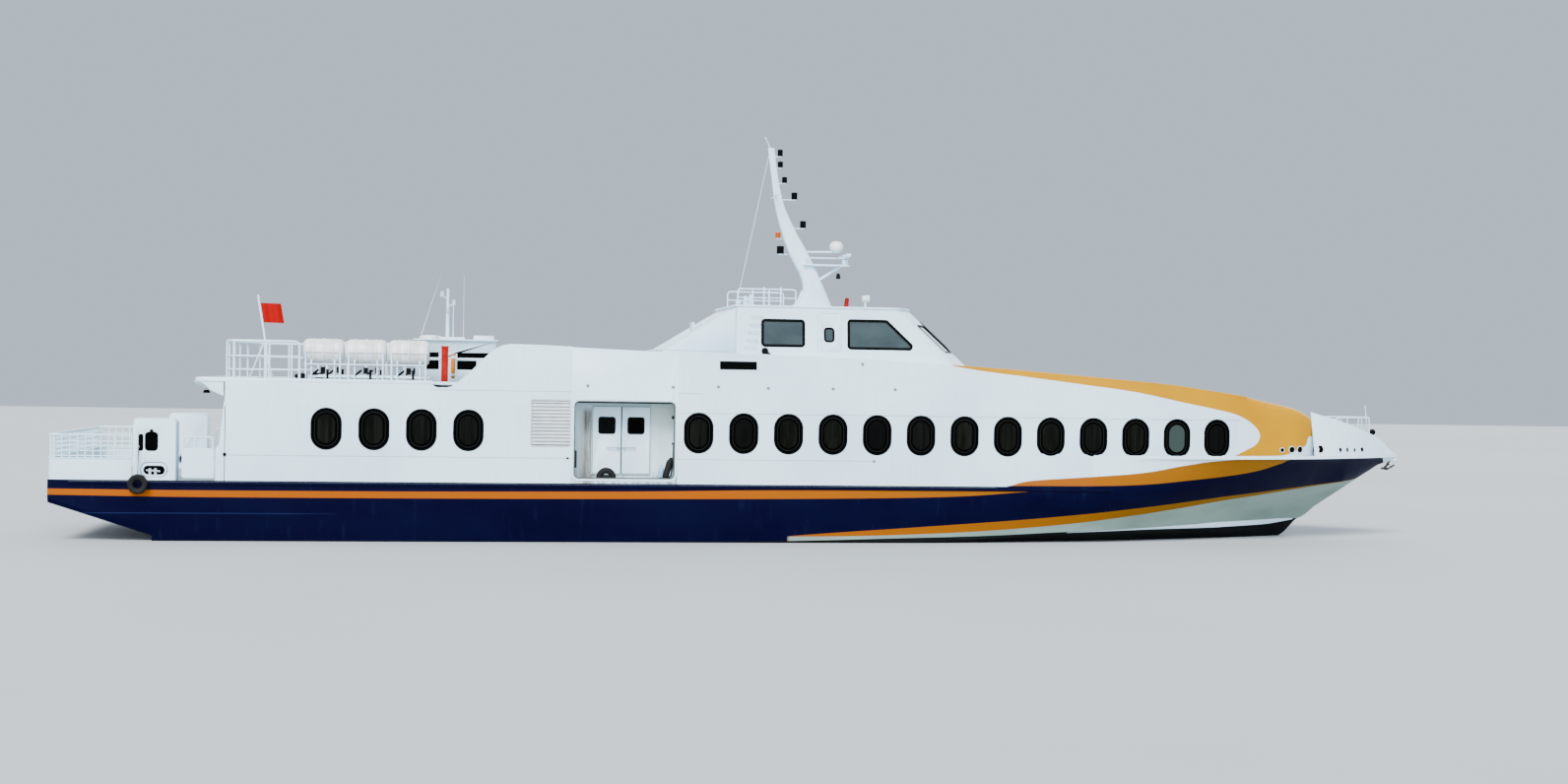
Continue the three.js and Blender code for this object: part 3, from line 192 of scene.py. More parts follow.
def line_over(tree, along, points):
    """A height that follows points (x, z) along x, as a curve node over their own range."""
    x0, x1 = points[0][0], points[-1][0]
    lows = min(z for _, z in points)
    highs = max(z for _, z in points) + 1e-3
    share = ramp(tree, along, x0, x1)
    made = add(tree, "ShaderNodeFloatCurve", {"Value": share})
    curve = made.mapping.curves[0]
    fitted = [((x - x0) / (x1 - x0), (z - lows) / (highs - lows)) for x, z in points]
    curve.points[0].location = fitted[0]
    curve.points[1].location = fitted[-1]
    for spot in fitted[1:-1]:
        curve.points.new(*spot)
    for point in curve.points:
        point.handle_type = "AUTO_CLAMPED"
    made.mapping.update()
    return ramp(tree, made.outputs[0], 0.0, 1.0, lows, highs)


MASK_FEATHER = 0.004


def above(tree, height, limit):
    """1 where height is over the limit, 0 under it, with an edge as soft as a masked paint line."""
    return ramp(tree, maths(tree, "SUBTRACT", height, limit), -MASK_FEATHER, MASK_FEATHER)


def facing_up(tree):
    """1 on the faces that are walked on, 0 on slopes and walls."""
    normal = add(tree, "ShaderNodeNewGeometry").outputs["True Normal"]
    return ramp(tree, add(tree, "ShaderNodeSeparateXYZ", {0: normal}).outputs[2], 0.93, 0.97)


def coat(tree, shader, colour, height=None, depth=0.0, strength=0.5):
    """Joins a colour to the shader, and the height of its ripples where the film has any."""
    tree.links.new(colour, shader.inputs["Base Color"])
    if depth:
        bump = add(tree, "ShaderNodeBump", {"Height": height, "Distance": depth, "Strength": strength})
        tree.links.new(bump.outputs[0], shader.inputs["Normal"])


# %% [markdown]
# ## White enamel
# The superstructure is aluminium plate under white polyurethane marine enamel. The film is glossy
# but chalks a little, and the plate behind it sinks slightly between its frames, so its gloss
# ripples. Rain carries soot and salt down it in faint streaks. The gold band at the bow is sprayed
# over the same enamel to a masked curve, so it is a paint line here and not a piece.

# %% Gold band and white enamel
GOLD_UPPER = [
    (4.2, 5.06), (5.6, 4.857), (7.03, 4.697), (8.47, 4.527), (9.99, 4.34), (11.51, 4.052),
    (12.4, 3.89), (13.1, 3.742), (13.45, 3.6), (13.7, 3.451), (13.87, 3.3), (13.957, 3.138),
    (14.1, 2.7), (14.3, 2.2),
]
GOLD_LOWER = [
    (12.9, 2.45), (13.21, 2.583), (13.515, 2.723), (13.794, 2.86), (13.91, 2.98), (13.957, 3.138),
    (14.1, 3.6), (14.3, 4.3),
]
GOLD_FOOT = [(12.5, 2.535), (14.66, 2.545), (15.3, 2.7), (15.7, 2.86), (15.85, 3.1), (16.8, 3.1)]
SHEER_FLOOR = [
    (-20.0, 1.625), (6.2, 1.625), (6.45, 1.68), (7.07, 1.8), (8.5, 1.9), (10.1, 2.02), (11.7, 2.27),
    (12.9, 2.41), (13.6, 2.44), (18.85, 2.44), (19.2, 2.2), (20.0, 2.2),
]
CRESCENT_FLOOR = [
    (6.2, 1.64), (7.07, 1.65), (8.5, 1.655), (10.1, 1.69), (11.7, 1.81), (13.5, 2.0), (14.8, 2.32),
    (15.2, 2.46), (20.0, 2.6),
]
GOLD_START, GOLD_FADE = 4.6, 0.1
BORDER_MIDDLE, BORDER_REACH, BORDER_FEATHER = 10.8, 2.2, 0.015
STRIPE_START = (6.25, 6.35)
RECESS_MOUTH_Y, RECESS_HEAD_Z, RECESS_JAMB_X = 3.435, 3.93, -5.47
GOLD_PAINT, GOLD_SHADE = "#B88200", "#A87300"
WHITE_PAINT, WHITE_SHADE = "#D0E8F4", "#BFD8E6"
AMBER_PAINT, NAVY_PAINT = "#8E4C00", "#01001C"
WHITE_GLOSS, GOLD_GLOSS = 0.12, 0.04


def gold_share(tree, x, y, z):
    """1 inside the gold band: over the upper curve or under the lower one, and over the foot."""
    # On the roof the band goes on as a border, with a white field inside it.
    ahead = maths(tree, "MAXIMUM", maths(tree, "SUBTRACT", x, BORDER_MIDDLE), 0.0)
    border = ramp(tree, diagonal(tree, ahead, y), BORDER_REACH, BORDER_REACH + BORDER_FEATHER)
    over = above(tree, z, line_over(tree, x, GOLD_UPPER))
    under = above(tree, line_over(tree, x, GOLD_LOWER), z)
    either = maths(tree, "MAXIMUM", over, under)
    foot = above(tree, z, line_over(tree, x, GOLD_FOOT))
    starts = ramp(tree, x, GOLD_START, GOLD_START + GOLD_FADE)
    return product(tree, either, foot, starts, border)


def weld_seam(tree, x, z, colour, height, start, end):
    """A faint grey line along the plate at a height, between two ends."""
    along = product(tree, ramp(tree, x, start, start + 0.02), ramp(tree, x, end + 0.02, end))
    line = product(tree, ramp(tree, distance(tree, z, height), 0.006, 0.018, 0.55, 0.0), along)
    return mix(tree, line, colour, linear("#7C8890"))


def rust_stains(tree, where, x, z, colour):
    """Rust down the recess's aft jamb, where the tyre rubs and the deck drains."""
    near_jamb = ramp(tree, distance(tree, x, RECESS_JAMB_X), 0.06, 0.24, 1.0, 0.0)
    drips = noise(tree, stretch(tree, where, (6.0, 6.0, 0.6)), 1.6, 4.0, 0.65)
    band = product(tree, near_jamb, ramp(tree, z, 3.7, 3.55), ramp(tree, drips, 0.35, 0.65, 0.3, 0.95))
    colour = mix(tree, band, colour, linear("#5C503E"))
    footing = product(tree, ramp(tree, z, 2.05, 1.76), ramp(tree, drips, 0.4, 0.62, 0.0, 0.7))
    return mix(tree, footing, colour, linear("#70706A"))


def gold_and_stripe(tree, shader, x, y, z, clouds, colour):
    """The gold band, and the hull's stripe where it starts on the foot of the wall."""
    ochre = mix(tree, ramp(tree, clouds, 0.4, 0.7), linear(GOLD_PAINT), linear(GOLD_SHADE))
    painted = gold_share(tree, x, y, z)
    colour = mix(tree, painted, colour, ochre)
    gloss = ramp(tree, painted, 0.0, 1.0, WHITE_GLOSS, GOLD_GLOSS)
    tree.links.new(gloss, shader.inputs["Specular IOR Level"])
    started = ramp(tree, x, *STRIPE_START)
    amber = product(tree, above(tree, line_over(tree, x, SHEER_FLOOR), z), started)
    colour = mix(tree, amber, colour, linear(AMBER_PAINT))
    navy = product(tree, above(tree, line_over(tree, x, CRESCENT_FLOOR), z), started)
    return mix(tree, navy, colour, linear(NAVY_PAINT))


def deck_coating(tree, shader, where, colour):
    """A gritty grey coating on the faces that are walked on."""
    flat = facing_up(tree)
    grit = noise(tree, where, 60.0, 2.0)
    coating = mix(tree, ramp(tree, grit, 0.4, 0.65), linear("#9FA9A8"), linear("#868F8E"))
    tree.links.new(ramp(tree, flat, 0.0, 1.0, 0.34, 0.8), shader.inputs["Roughness"])
    return mix(tree, flat, colour, coating)


def white_enamel(name, gold=False, deck=False, seams=(), recess_shade=WHITE_PAINT, stained=False):
    material, tree, shader = new_material(name, Roughness=0.36, Specular_IOR_Level=WHITE_GLOSS)
    where, x, y, z = place(tree)
    # Streaks run down the plate: ten times finer across than along.
    streaks = noise(tree, stretch(tree, where, (3.2, 3.2, 0.32)), 2.2, 4.0, 0.6)
    clouds = noise(tree, where, 0.35, 3.0)
    # Painted shade: the inside of the recess gets a darker, greener white than the side; the skin round its
    # mouth keeps the side's white.
    inward = ramp(tree, maths(tree, "ABSOLUTE", y), RECESS_MOUTH_Y, RECESS_MOUTH_Y - 0.015)
    recess_shade_mask = product(tree, inward, ramp(tree, z, RECESS_HEAD_Z, RECESS_HEAD_Z - 0.02))
    ground = mix(tree, recess_shade_mask, linear(WHITE_PAINT), linear(recess_shade))
    colour = mix(tree, ramp(tree, clouds, 0.35, 0.7), ground, linear(WHITE_SHADE))
    colour = mix(tree, ramp(tree, streaks, 0.52, 0.8, 0.0, 0.16), colour, linear("#9AA29F"))
    for height, start, end in seams:
        colour = weld_seam(tree, x, z, colour, height, start, end)
    if stained:
        colour = rust_stains(tree, where, x, z, colour)
    if gold:
        colour = gold_and_stripe(tree, shader, x, y, z, clouds, colour)
    if deck:
        colour = deck_coating(tree, shader, where, colour)
    ripple = noise(tree, stretch(tree, where, (1.0, 1.0, 0.8)), 1.1, 1.0)
    peel = noise(tree, where, 35.0, 2.0)
    height = maths(tree, "ADD", ripple, maths(tree, "MULTIPLY", peel, 0.02))
    coat(tree, shader, colour, height, 0.02)
    return material


SIDE_SEAMS = ((2.3, -15.1, 2.45), (3.57, -3.0, 13.3), (4.11, -9.72, -2.4))  # height, start, end
side_white = white_enamel("saloon_white_enamel", gold=True, seams=SIDE_SEAMS)
plain_white = white_enamel("fitting_white_enamel")
deck_white = white_enamel("deck_edge_white_enamel", deck=True)
# The darker, greener white inside the recess is painted shade.
recess_white = white_enamel("recess_white_enamel", deck=True, recess_shade="#BCC8C4", stained=True)
print("white enamels made")

# %% [markdown]
# ## Hull enamel
# Below the deck line the plating is navy, with one orange stripe aft and two that sweep up to the
# bow. Under the lower one the boot is bare grey-green, and from the spray rail down the hull is
# black. All of it is one coat system on one plate, so one material holds every paint line, each a
# curve of height over length in metres.

# %% Hull paint
MID_STRIPE_FLOOR = [(-20.0, 1.225), (-14.8, 1.18), (-5.4, 1.2), (2.8, 1.275), (6.84, 1.475), (7.5, 1.52)]
MID_STRIPE_TOP = [(-20.0, 1.385), (-14.8, 1.36), (-5.4, 1.4), (2.8, 1.485), (6.84, 1.485), (7.5, 1.485)]
LOW_STRIPE_FLOOR = [
    (-0.3, 0.19), (0.1, 0.18), (3.7, 0.25), (7.1, 0.45), (10.2, 0.79), (13.6, 1.25), (18.43, 1.85),
    (20.0, 2.05),
]
LOW_STRIPE_TOP = [
    (-0.3, 0.15), (0.1, 0.19), (3.7, 0.45), (7.1, 0.7), (10.2, 1.0), (13.6, 1.36), (18.43, 1.85),
    (20.0, 2.04),
]
BOOT_TOP = [(-20.0, 0.03), (-4.0, 0.03), (4.0, 0.16), (8.7, 0.34), (12.1, 0.45), (16.3, 0.54), (20.0, 0.56)]
MID_STRIPE_END = 6.9
LOW_STRIPE_START = (0.05, 0.15)
QUARTER_SEAM_Z = 0.75
LEDGE_MIDDLE, LEDGE_REACH = 9.9, 3.9


def hull_enamel():
    # The film's reflection is held well under that of fresh enamel, because it would show the
    # pale floor and turn the navy grey.
    material, tree, shader = new_material("hull_navy_enamel", Roughness=0.38, Specular_IOR_Level=0.04)
    where, x, _, z = place(tree)
    clouds = noise(tree, stretch(tree, where, (0.5, 0.5, 1.4)), 0.9, 4.0)
    runs = noise(tree, stretch(tree, where, (4.0, 4.0, 0.3)), 1.7, 4.0, 0.6)
    navy = mix(tree, ramp(tree, clouds, 0.35, 0.72), linear(NAVY_PAINT), linear("#030422"))
    navy = mix(tree, ramp(tree, runs, 0.6, 0.85, 0.0, 0.2), navy, linear("#262F55"))
    white = mix(tree, ramp(tree, runs, 0.5, 0.8, 0.0, 0.3), linear(WHITE_PAINT), linear("#AEB8BC"))
    # Towards the bow the orange turns darker, to an olive gold.
    orange = mix(tree, ramp(tree, x, -2.0, 14.0), linear("#934900"), linear("#75520A"))
    amber = mix(tree, ramp(tree, x, 7.0, 14.5), linear(AMBER_PAINT), linear("#8A5C10"))
    pale = mix(tree, ramp(tree, clouds, 0.4, 0.7), linear("#80958D"), linear("#6B7F77"))
    black = mix(tree, ramp(tree, clouds, 0.3, 0.7), linear("#08090A"), linear("#121615"))

    over_mid = above(tree, z, line_over(tree, x, MID_STRIPE_FLOOR))
    in_mid = product(tree, over_mid, above(tree, line_over(tree, x, MID_STRIPE_TOP), z))
    colour = mix(
        tree, product(tree, in_mid, ramp(tree, x, MID_STRIPE_END, MID_STRIPE_END - 0.05)), navy, orange,
    )
    under_low = above(tree, line_over(tree, x, LOW_STRIPE_TOP), z)
    started = ramp(tree, x, *LOW_STRIPE_START)
    colour = mix(tree, product(tree, under_low, started), colour, orange)
    under_pale = above(tree, line_over(tree, x, LOW_STRIPE_FLOOR), z)
    colour = mix(tree, product(tree, under_pale, started), colour, pale)
    over_crescent = above(tree, z, line_over(tree, x, CRESCENT_FLOOR))
    colour = mix(tree, product(tree, over_crescent, ramp(tree, x, *STRIPE_START)), colour, amber)
    colour = mix(tree, above(tree, z, line_over(tree, x, SHEER_FLOOR)), colour, white)
    colour = mix(tree, above(tree, line_over(tree, x, BOOT_TOP), z), colour, black)
    # A weld seam stands in the quarter's navy plate.
    near_seam = ramp(tree, distance(tree, z, QUARTER_SEAM_Z), 0.006, 0.02, 0.5, 0.0)
    seam = product(tree, near_seam, ramp(tree, x, -12.0, -13.5))
    colour = mix(tree, seam, colour, linear("#20294F"))
    # The ledge at the foot of the saloon's forward wall carries the stripe, not the deck coating.
    off_ledge = ramp(tree, distance(tree, x, LEDGE_MIDDLE), LEDGE_REACH, LEDGE_REACH + 0.1)
    on_deck = product(tree, facing_up(tree), ramp(tree, z, 1.5, 1.6), off_ledge)
    colour = mix(tree, on_deck, colour, linear("#8E9897"))
    ripple = noise(tree, stretch(tree, where, (1.0, 1.0, 0.7)), 1.3, 1.5)
    coat(tree, shader, colour, ripple, 0.03)
    return material


hull_paint = hull_enamel()

# %% [markdown]
# ## Glass, rubber, metal and mouldings
# The saloon windows are dark tinted toughened glass with a black ceramic border. The wheelhouse
# has a lighter blue-grey tint. Gaskets, tyres and fenders are black rubber that has gone matt in
# the sun. The liferaft shells and the fire locker are gelcoat over glass fibre, and the
# screws are nickel-aluminium bronze.

# %% Saloon glass
WINDOW_PITCH = 1.25
WINDOW_FIRST = -2.475
WINDOW_Z = 3.03
HALF_STRAIGHT = 0.15
PALER_WINDOW = 11.0


def saloon_glass():
    material, tree, shader = new_material("saloon_tinted_glass", Roughness=0.06, Specular_IOR_Level=0.015)
    where, x, _, z = place(tree)
    # Each window has its own place in the row, so each gets its own depth of tint.
    row = maths(tree, "DIVIDE", maths(tree, "SUBTRACT", x, WINDOW_FIRST), WINDOW_PITCH)
    index = maths(tree, "ROUND", row)
    across = maths(tree, "ABSOLUTE", product(tree, maths(tree, "SUBTRACT", row, index), WINDOW_PITCH))
    off_middle = distance(tree, z, WINDOW_Z)
    up = maths(tree, "MAXIMUM", maths(tree, "SUBTRACT", off_middle, HALF_STRAIGHT), 0.0)
    clear = ramp(tree, diagonal(tree, across, up), 0.245, 0.225)
    chance = add(tree, "ShaderNodeTexWhiteNoise", {"W": index}, noise_dimensions="1D").outputs["Value"]
    depth = ramp(tree, chance, 0.0, 1.0, 0.15, 1.0)
    folds = noise(tree, stretch(tree, where, (9.0, 9.0, 0.7)), 1.5, 2.0)
    inner = mix(tree, ramp(tree, folds, 0.35, 0.7), linear("#070906"), linear("#151814"))
    inner = mix(tree, depth, linear("#050606"), inner)
    # One window of the row is paler than the rest, as if its blind were up.
    paler = ramp(tree, distance(tree, index, PALER_WINDOW), 0.4, 0.5, 1.0, 0.0)
    inner = mix(tree, paler, inner, linear("#303A38"))
    coat(tree, shader, mix(tree, clear, linear("#010101"), inner))
    return material


def wheelhouse_glass():
    material, tree, shader = new_material(
        "wheelhouse_tinted_glass", Roughness=0.05, Specular_IOR_Level=0.12,
    )
    where, _, _, z = place(tree)
    fade = ramp(tree, z, 5.35, 6.35)
    cloud = noise(tree, stretch(tree, where, (1.0, 1.0, 1.4)), 1.3, 3.0)
    colour = mix(tree, fade, linear("#202B2E"), linear("#2A3639"))
    coat(tree, shader, mix(tree, ramp(tree, cloud, 0.3, 0.75, 0.0, 0.6), colour, linear("#3C484A")))
    return material


def plain_finish(name, first, second, scale, roughness, metallic=0.0, bump=0.0, **constants):
    """A finish whose colour drifts between two tones, with a fine bump at the same scale."""
    material, tree, shader = new_material(name, Roughness=roughness, Metallic=metallic, **constants)
    drift = noise(tree, place(tree)[0], scale, 4.0, 0.6)
    colour = mix(tree, ramp(tree, drift, 0.35, 0.68), linear(first), linear(second))
    coat(tree, shader, colour, drift, bump, 0.6)
    return material


glass_dark = saloon_glass()
glass_grey = wheelhouse_glass()
rubber = plain_finish(
    "weathered_black_rubber", "#060607", "#101112", 18.0, 0.7, bump=0.004, Specular_IOR_Level=0.2,
)
gasket = plain_finish(
    "black_gasket_rubber", "#020202", "#050606", 25.0, 0.5, bump=0.001, Specular_IOR_Level=0.04,
)
alloy = plain_finish("mill_finish_aluminium", "#B9BEC2", "#9FA5A9", 12.0, 0.38, metallic=0.95, bump=0.002)
bronze = plain_finish("nickel_aluminium_bronze", "#B58A4A", "#94703A", 9.0, 0.33, metallic=1.0, bump=0.003)
iron = plain_finish("black_painted_cast_iron", "#0C0D0E", "#1E1B18", 22.0, 0.55, metallic=0.1, bump=0.004)
# Near-black panels in this finish are painted shade, set where an opening looks into a dark inside.
painted_shade = plain_finish("painted_interior_shade", "#010202", "#030404", 6.0, 0.8, Specular_IOR_Level=0.02)
raft_white = plain_finish("liferaft_white_gelcoat", "#DDE1E1", "#BFC6C6", 2.6, 0.4, bump=0.004)
red_gel = plain_finish("fire_red_gelcoat", "#A4130A", "#850C07", 7.0, 0.38, Specular_IOR_Level=0.15)
orange_foam = plain_finish(
    "lifebuoy_orange_polyethylene", "#BE6A00", "#A65400", 8.0, 0.5, Specular_IOR_Level=0.15,
)
lamp_black = plain_finish(
    "lamp_black_polycarbonate", "#020203", "#070809", 20.0, 0.4, Specular_IOR_Level=0.06,
)
lamp_amber = plain_finish("lamp_amber_lens", "#B4500A", "#963C06", 12.0, 0.25, Specular_IOR_Level=0.2)
lens_clear = plain_finish("searchlight_pale_lens", "#C9D2D4", "#A9B4B8", 10.0, 0.15)
rope_fibre = plain_finish(
    "weathered_black_polypropylene_rope", "#17191B", "#2B2D2C", 140.0, 0.85, bump=0.003,
)
louvre_grey = plain_finish("louvre_grey_enamel", "#B9C1C6", "#A6AFB5", 3.0, 0.42)
stud_grey = plain_finish("stud_grey_enamel", "#6F7C84", "#5E6A72", 5.0, 0.45)
fender_blue = plain_finish("pale_blue_fender_vinyl", "#8FB3CC", "#7A9DB8", 6.0, 0.4)
seal_grey = plain_finish("door_seal_grey_rubber", "#39423F", "#4A524E", 6.0, 0.6, Specular_IOR_Level=0.2)
bead_grey = plain_finish("glazing_bead_grey", "#1C201E", "#141716", 9.0, 0.5, Specular_IOR_Level=0.1)
strap_cream = plain_finish("raft_strap_cream_webbing", "#DAD8CC", "#C4C1B3", 3.0, 0.42)
print(len(bpy.data.materials), "materials so far")

# %% [markdown]
# ## Curves that are fair
# Shipwrights bend a batten through a few stations and read every height off it. The helper here
# is that batten: a monotone curve through a table's rows, which never overshoots. With it the
# few CAD stations become a hull with no facets.

# %% Shape helpers
def batten(rows, column=1):
    """A smooth function through [x, ..., value, ...] rows, without overshoot."""
    xs = [row[0] for row in rows]
    ys = [row[column] for row in rows]
    steps = [b - a for a, b in zip(xs, xs[1:])]
    slopes = [(b - a) / step for a, b, step in zip(ys, ys[1:], steps)]
    inner = [0.0 if a * b <= 0 else 2 * a * b / (a + b) for a, b in zip(slopes, slopes[1:])]
    tangents = [slopes[0], *inner, slopes[-1]]

    def value(x):
        if x <= xs[0]:
            return ys[0]
        if x >= xs[-1]:
            return ys[-1]
        i = bisect.bisect_right(xs, x) - 1
        t, step = (x - xs[i]) / steps[i], steps[i]
        start = ys[i] * (1 + 2 * t) * (1 - t) ** 2 + tangents[i] * step * t * (1 - t) ** 2
        end = ys[i + 1] * t * t * (3 - 2 * t) + tangents[i + 1] * step * t * t * (t - 1)
        return start + end

    return value


def clamp(value, low=0.0, high=1.0):
    return max(low, min(high, value))


def spread(start, end, step):
    """Evenly spaced values from start to end, about step apart."""
    count = max(1, round(abs(end - start) / step))
    return [start + (end - start) * i / count for i in range(count + 1)]


def closed_mesh(name, vertices, faces, weld=0.0):
    """A mesh with its doubled points welded, if asked, and its faces turned outwards."""
    mesh = bpy.data.meshes.new(name)
    mesh.from_pydata(vertices, [], faces)
    bm = bmesh.new()
    bm.from_mesh(mesh)
    if weld:
        bmesh.ops.remove_doubles(bm, verts=bm.verts, dist=weld)
    bmesh.ops.recalc_face_normals(bm, faces=bm.faces)
    bm.to_mesh(mesh)
    bm.free()
    return mesh


def new_piece(name, vertices, faces, material, body="root", slot=None, sharp=35, replaces=()):
    """A closed piece from its points and faces, shaded smooth up to an edge angle."""
    made = placed(name, closed_mesh(name, vertices, faces, weld=1e-5))
    return dress(made, material, body, sharp, replaces)


def dress(made, material, body="root", sharp=35, replaces=()):
    """Gives a piece its material, shading, body and the nodes that it stands for."""
    made.data.materials.clear()
    made.data.materials.append(material)
    made.data.shade_smooth()
    if sharp:
        made.data.set_sharp_from_angle(angle=math.radians(sharp))
    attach(made, body)
    if replaces:
        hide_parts(*replaces)
    return made


def baked(made):
    """Applies a piece's modifiers to its mesh."""
    graph = bpy.context.evaluated_depsgraph_get()
    graph.update()
    mesh = bpy.data.meshes.new_from_object(made.evaluated_get(graph), depsgraph=graph)
    made.modifiers.clear()
    made.data = mesh
    return made


def skin(rings, caps=True):
    """Points and faces of a body through closed rings of equal length."""
    count = len(rings[0])
    points = [p for ring in rings for p in ring]
    faces = []
    for r in range(len(rings) - 1):
        for i in range(count):
            j = (i + 1) % count
            a, b = r * count + i, r * count + j
            faces.append((a, b, b + count, a + count))
    if caps:
        faces.append(tuple(range(count))[::-1])
        faces.append(tuple(range((len(rings) - 1) * count, len(rings) * count)))
    return points, faces


def both_halves(half):
    """A closed section from its starboard half, listed from the keel up."""
    ring = [(x, -y, z) for x, y, z in half]
    return ring + [(x, y, z) for x, y, z in reversed(half) if abs(y) > 1e-6]


def join_meshes(name, pieces, material, body="root", slot=None, sharp=35, replaces=()):
    """One piece from several (points, faces) sets."""
    points, faces = [], []
    for more_points, more_faces in pieces:
        start = len(points)
        points += more_points
        faces += [tuple(start + i for i in face) for face in more_faces]
    return new_piece(name, points, faces, material, body, slot, sharp, replaces)


def white_piece(name, pieces, body="root", sharp=35, replaces=()):
    """One piece under the fittings' white enamel."""
    return join_meshes(name, pieces, plain_white, body, "white_paint", sharp, replaces)


def slab(outline, y0, y1):
    """A plate with an (x, z) outline between two distances off the centreline."""
    return skin([[(x, y, z) for x, z, *_ in outline] for y in (y0, y1)])


def mirrored_over(shape):
    points, faces = shape
    return [(x, -y, z) for x, y, z in points], [tuple(reversed(face)) for face in faces]


def on_side(sign, shapes):
    """Starboard shapes as they are, or mirrored over the centreline for the port side."""
    return shapes if sign < 0 else [mirrored_over(shape) for shape in shapes]


def on_both(shapes):
    return [*shapes, *(mirrored_over(shape) for shape in shapes)]


def block(x0, x1, y0, y1, z0, z1):
    """Points and faces of a block."""
    points = [(x, y, z) for x in (x0, x1) for y in (y0, y1) for z in (z0, z1)]
    faces = [(0, 1, 3, 2), (4, 6, 7, 5), (0, 4, 5, 1), (2, 3, 7, 6), (0, 2, 6, 4), (1, 5, 7, 3)]
    return points, faces


def rounded_rect(ca, cb, width, height, radius, steps=8):
    """Points of a rectangle with round corners, with the outward direction at each."""
    found = []
    for quarter, (sa, sb) in enumerate(((1, 1), (-1, 1), (-1, -1), (1, -1))):
        for i in range(steps + 1):
            angle = (quarter + i / steps) * math.pi / 2
            n = (math.cos(angle), math.sin(angle))
            a = ca + sa * (width / 2 - radius) + radius * n[0]
            b = cb + sb * (height / 2 - radius) + radius * n[1]
            found.append((a, b, n[0], n[1]))
    return found


def box_outline(x0, x1, z0, z1, radius, steps=3):
    return rounded_rect((x0 + x1) / 2, (z0 + z1) / 2, x1 - x0, z1 - z0, radius, steps)


def lathe(outline, sides=32):
    """Points and faces turned about Z from (radius, z) pairs that start and end on the axis."""
    points = [(0.0, 0.0, outline[0][1])]
    rows = outline[1:-1]
    for r, z in rows:
        points += [
            (r * math.cos(math.tau * i / sides), r * math.sin(math.tau * i / sides), z)
            for i in range(sides)
        ]
    points.append((0.0, 0.0, outline[-1][1]))
    last = len(points) - 1
    faces = [(0, 1 + (i + 1) % sides, 1 + i) for i in range(sides)]
    for k in range(len(rows) - 1):
        a = 1 + k * sides
        for i in range(sides):
            j = (i + 1) % sides
            faces.append((a + i, a + j, a + j + sides, a + i + sides))
    top = 1 + (len(rows) - 1) * sides
    faces += [(last, top + i, top + (i + 1) % sides) for i in range(sides)]
    return points, faces


def moved(shape, matrix):
    points, faces = shape
    return [tuple(matrix @ Vector(p)) for p in points], faces


def aimed(start, end):
    """A matrix that takes the Z axis from the origin onto the way from start to end."""
    way = Vector(end) - Vector(start)
    return Matrix.Translation(Vector(start)) @ way.to_track_quat("Z", "Y").to_matrix().to_4x4()


def rod(start, end, radius, end_radius=None, sides=16):
    """A turned rod between two points with softened ends."""
    end_radius = radius if end_radius is None else end_radius
    length = (Vector(end) - Vector(start)).length
    soft = min(0.15 * radius, 0.2 * length)
    outline = [
        (0, 0), (radius - soft, 0), (radius, soft), (end_radius, length - soft),
        (end_radius - soft, length), (0, length),
    ]
    return moved(lathe(outline, sides), aimed(start, end))


def post(x, y, low, high, radius, end_radius=None, sides=16):
    """An upright rod."""
    return rod((x, y, low), (x, y, high), radius, end_radius, sides)


def rounded_path(points, radius, steps=4):
    """A path whose corners are bent to a radius, as a tube bender leaves them."""
    if len(points) < 3:
        return [Vector(p) for p in points]
    found = [Vector(points[0])]
    for before, corner, after in zip(points, points[1:], points[2:]):
        corner = Vector(corner)
        back, on = Vector(before) - corner, Vector(after) - corner
        reach = min(radius, back.length * 0.45, on.length * 0.45)
        start, end = corner + back.normalized() * reach, corner + on.normalized() * reach
        for i in range(steps + 1):
            t = i / steps
            found.append(start * (1 - t) ** 2 + corner * 2 * t * (1 - t) + end * t * t)
    found.append(Vector(points[-1]))
    return found


def tube(path, radius, sides=10, closed=False):
    """A round tube along a path, its rings turned with the least twist."""
    path = [Vector(p) for p in path]
    count = len(path)
    ways = []
    for i in range(count):
        ahead = path[(i + 1) % count] if closed or i + 1 < count else path[i]
        behind = path[i - 1] if closed or i > 0 else path[i]
        ways.append((ahead - behind).normalized())
    side = ways[0].orthogonal().normalized()
    rings = []
    turns = [math.tau * k / sides for k in range(sides)]
    for spot, way in zip(path, ways):
        side = (side - way * side.dot(way)).normalized()
        other = way.cross(side)
        rings.append([tuple(spot + (side * math.cos(t) + other * math.sin(t)) * radius) for t in turns])
    if closed:
        rings.append(rings[0])
    return skin(rings, caps=not closed)


def softened(node, material, width):
    """A piece with a CAD node's shape and softened edges, which stands for the node."""
    source = nodes[node]
    bm = bmesh.new()
    bm.from_mesh(source.data)
    bmesh.ops.remove_doubles(bm, verts=bm.verts, dist=2e-5)
    bmesh.ops.dissolve_limit(bm, angle_limit=math.radians(0.6), verts=bm.verts, edges=bm.edges)
    mesh = bpy.data.meshes.new(node + "_dressed")
    bm.to_mesh(mesh)
    bm.free()
    made = placed(node + "_dressed", mesh)
    rounding = made.modifiers.new("edge", "BEVEL")
    rounding.width, rounding.segments = width, 2
    rounding.limit_method, rounding.angle_limit = "ANGLE", math.radians(35)
    rounding.harden_normals = True
    rounding.use_clamp_overlap = True
    baked(made)
    return dress(made, material, source["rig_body"], 40, (node,))


def carve(made, cutters):
    """Cuts closed (points, faces) shapes out of a piece, one at a time."""
    for points, faces in cutters:
        tool = placed("cutter", closed_mesh("cutter", points, faces))
        modifier = made.modifiers.new("cut", "BOOLEAN")
        modifier.operation, modifier.solver, modifier.object = "DIFFERENCE", "EXACT", tool
        baked(made)
        bpy.data.objects.remove(tool)
    return made


SIDES = (("starboard", -1), ("port", 1))

# %% [markdown]
# ## The hull
# A planing hull of welded plate has a V bottom, a hard chine and a side that flares out towards
# the bow, where a knuckle stiffens it. It could be sculpted, but the lines already say it all:
# each column of the table is a batten over the length, and the plating is skinned over close
# sections, so highlights run along it as they do along real plate.

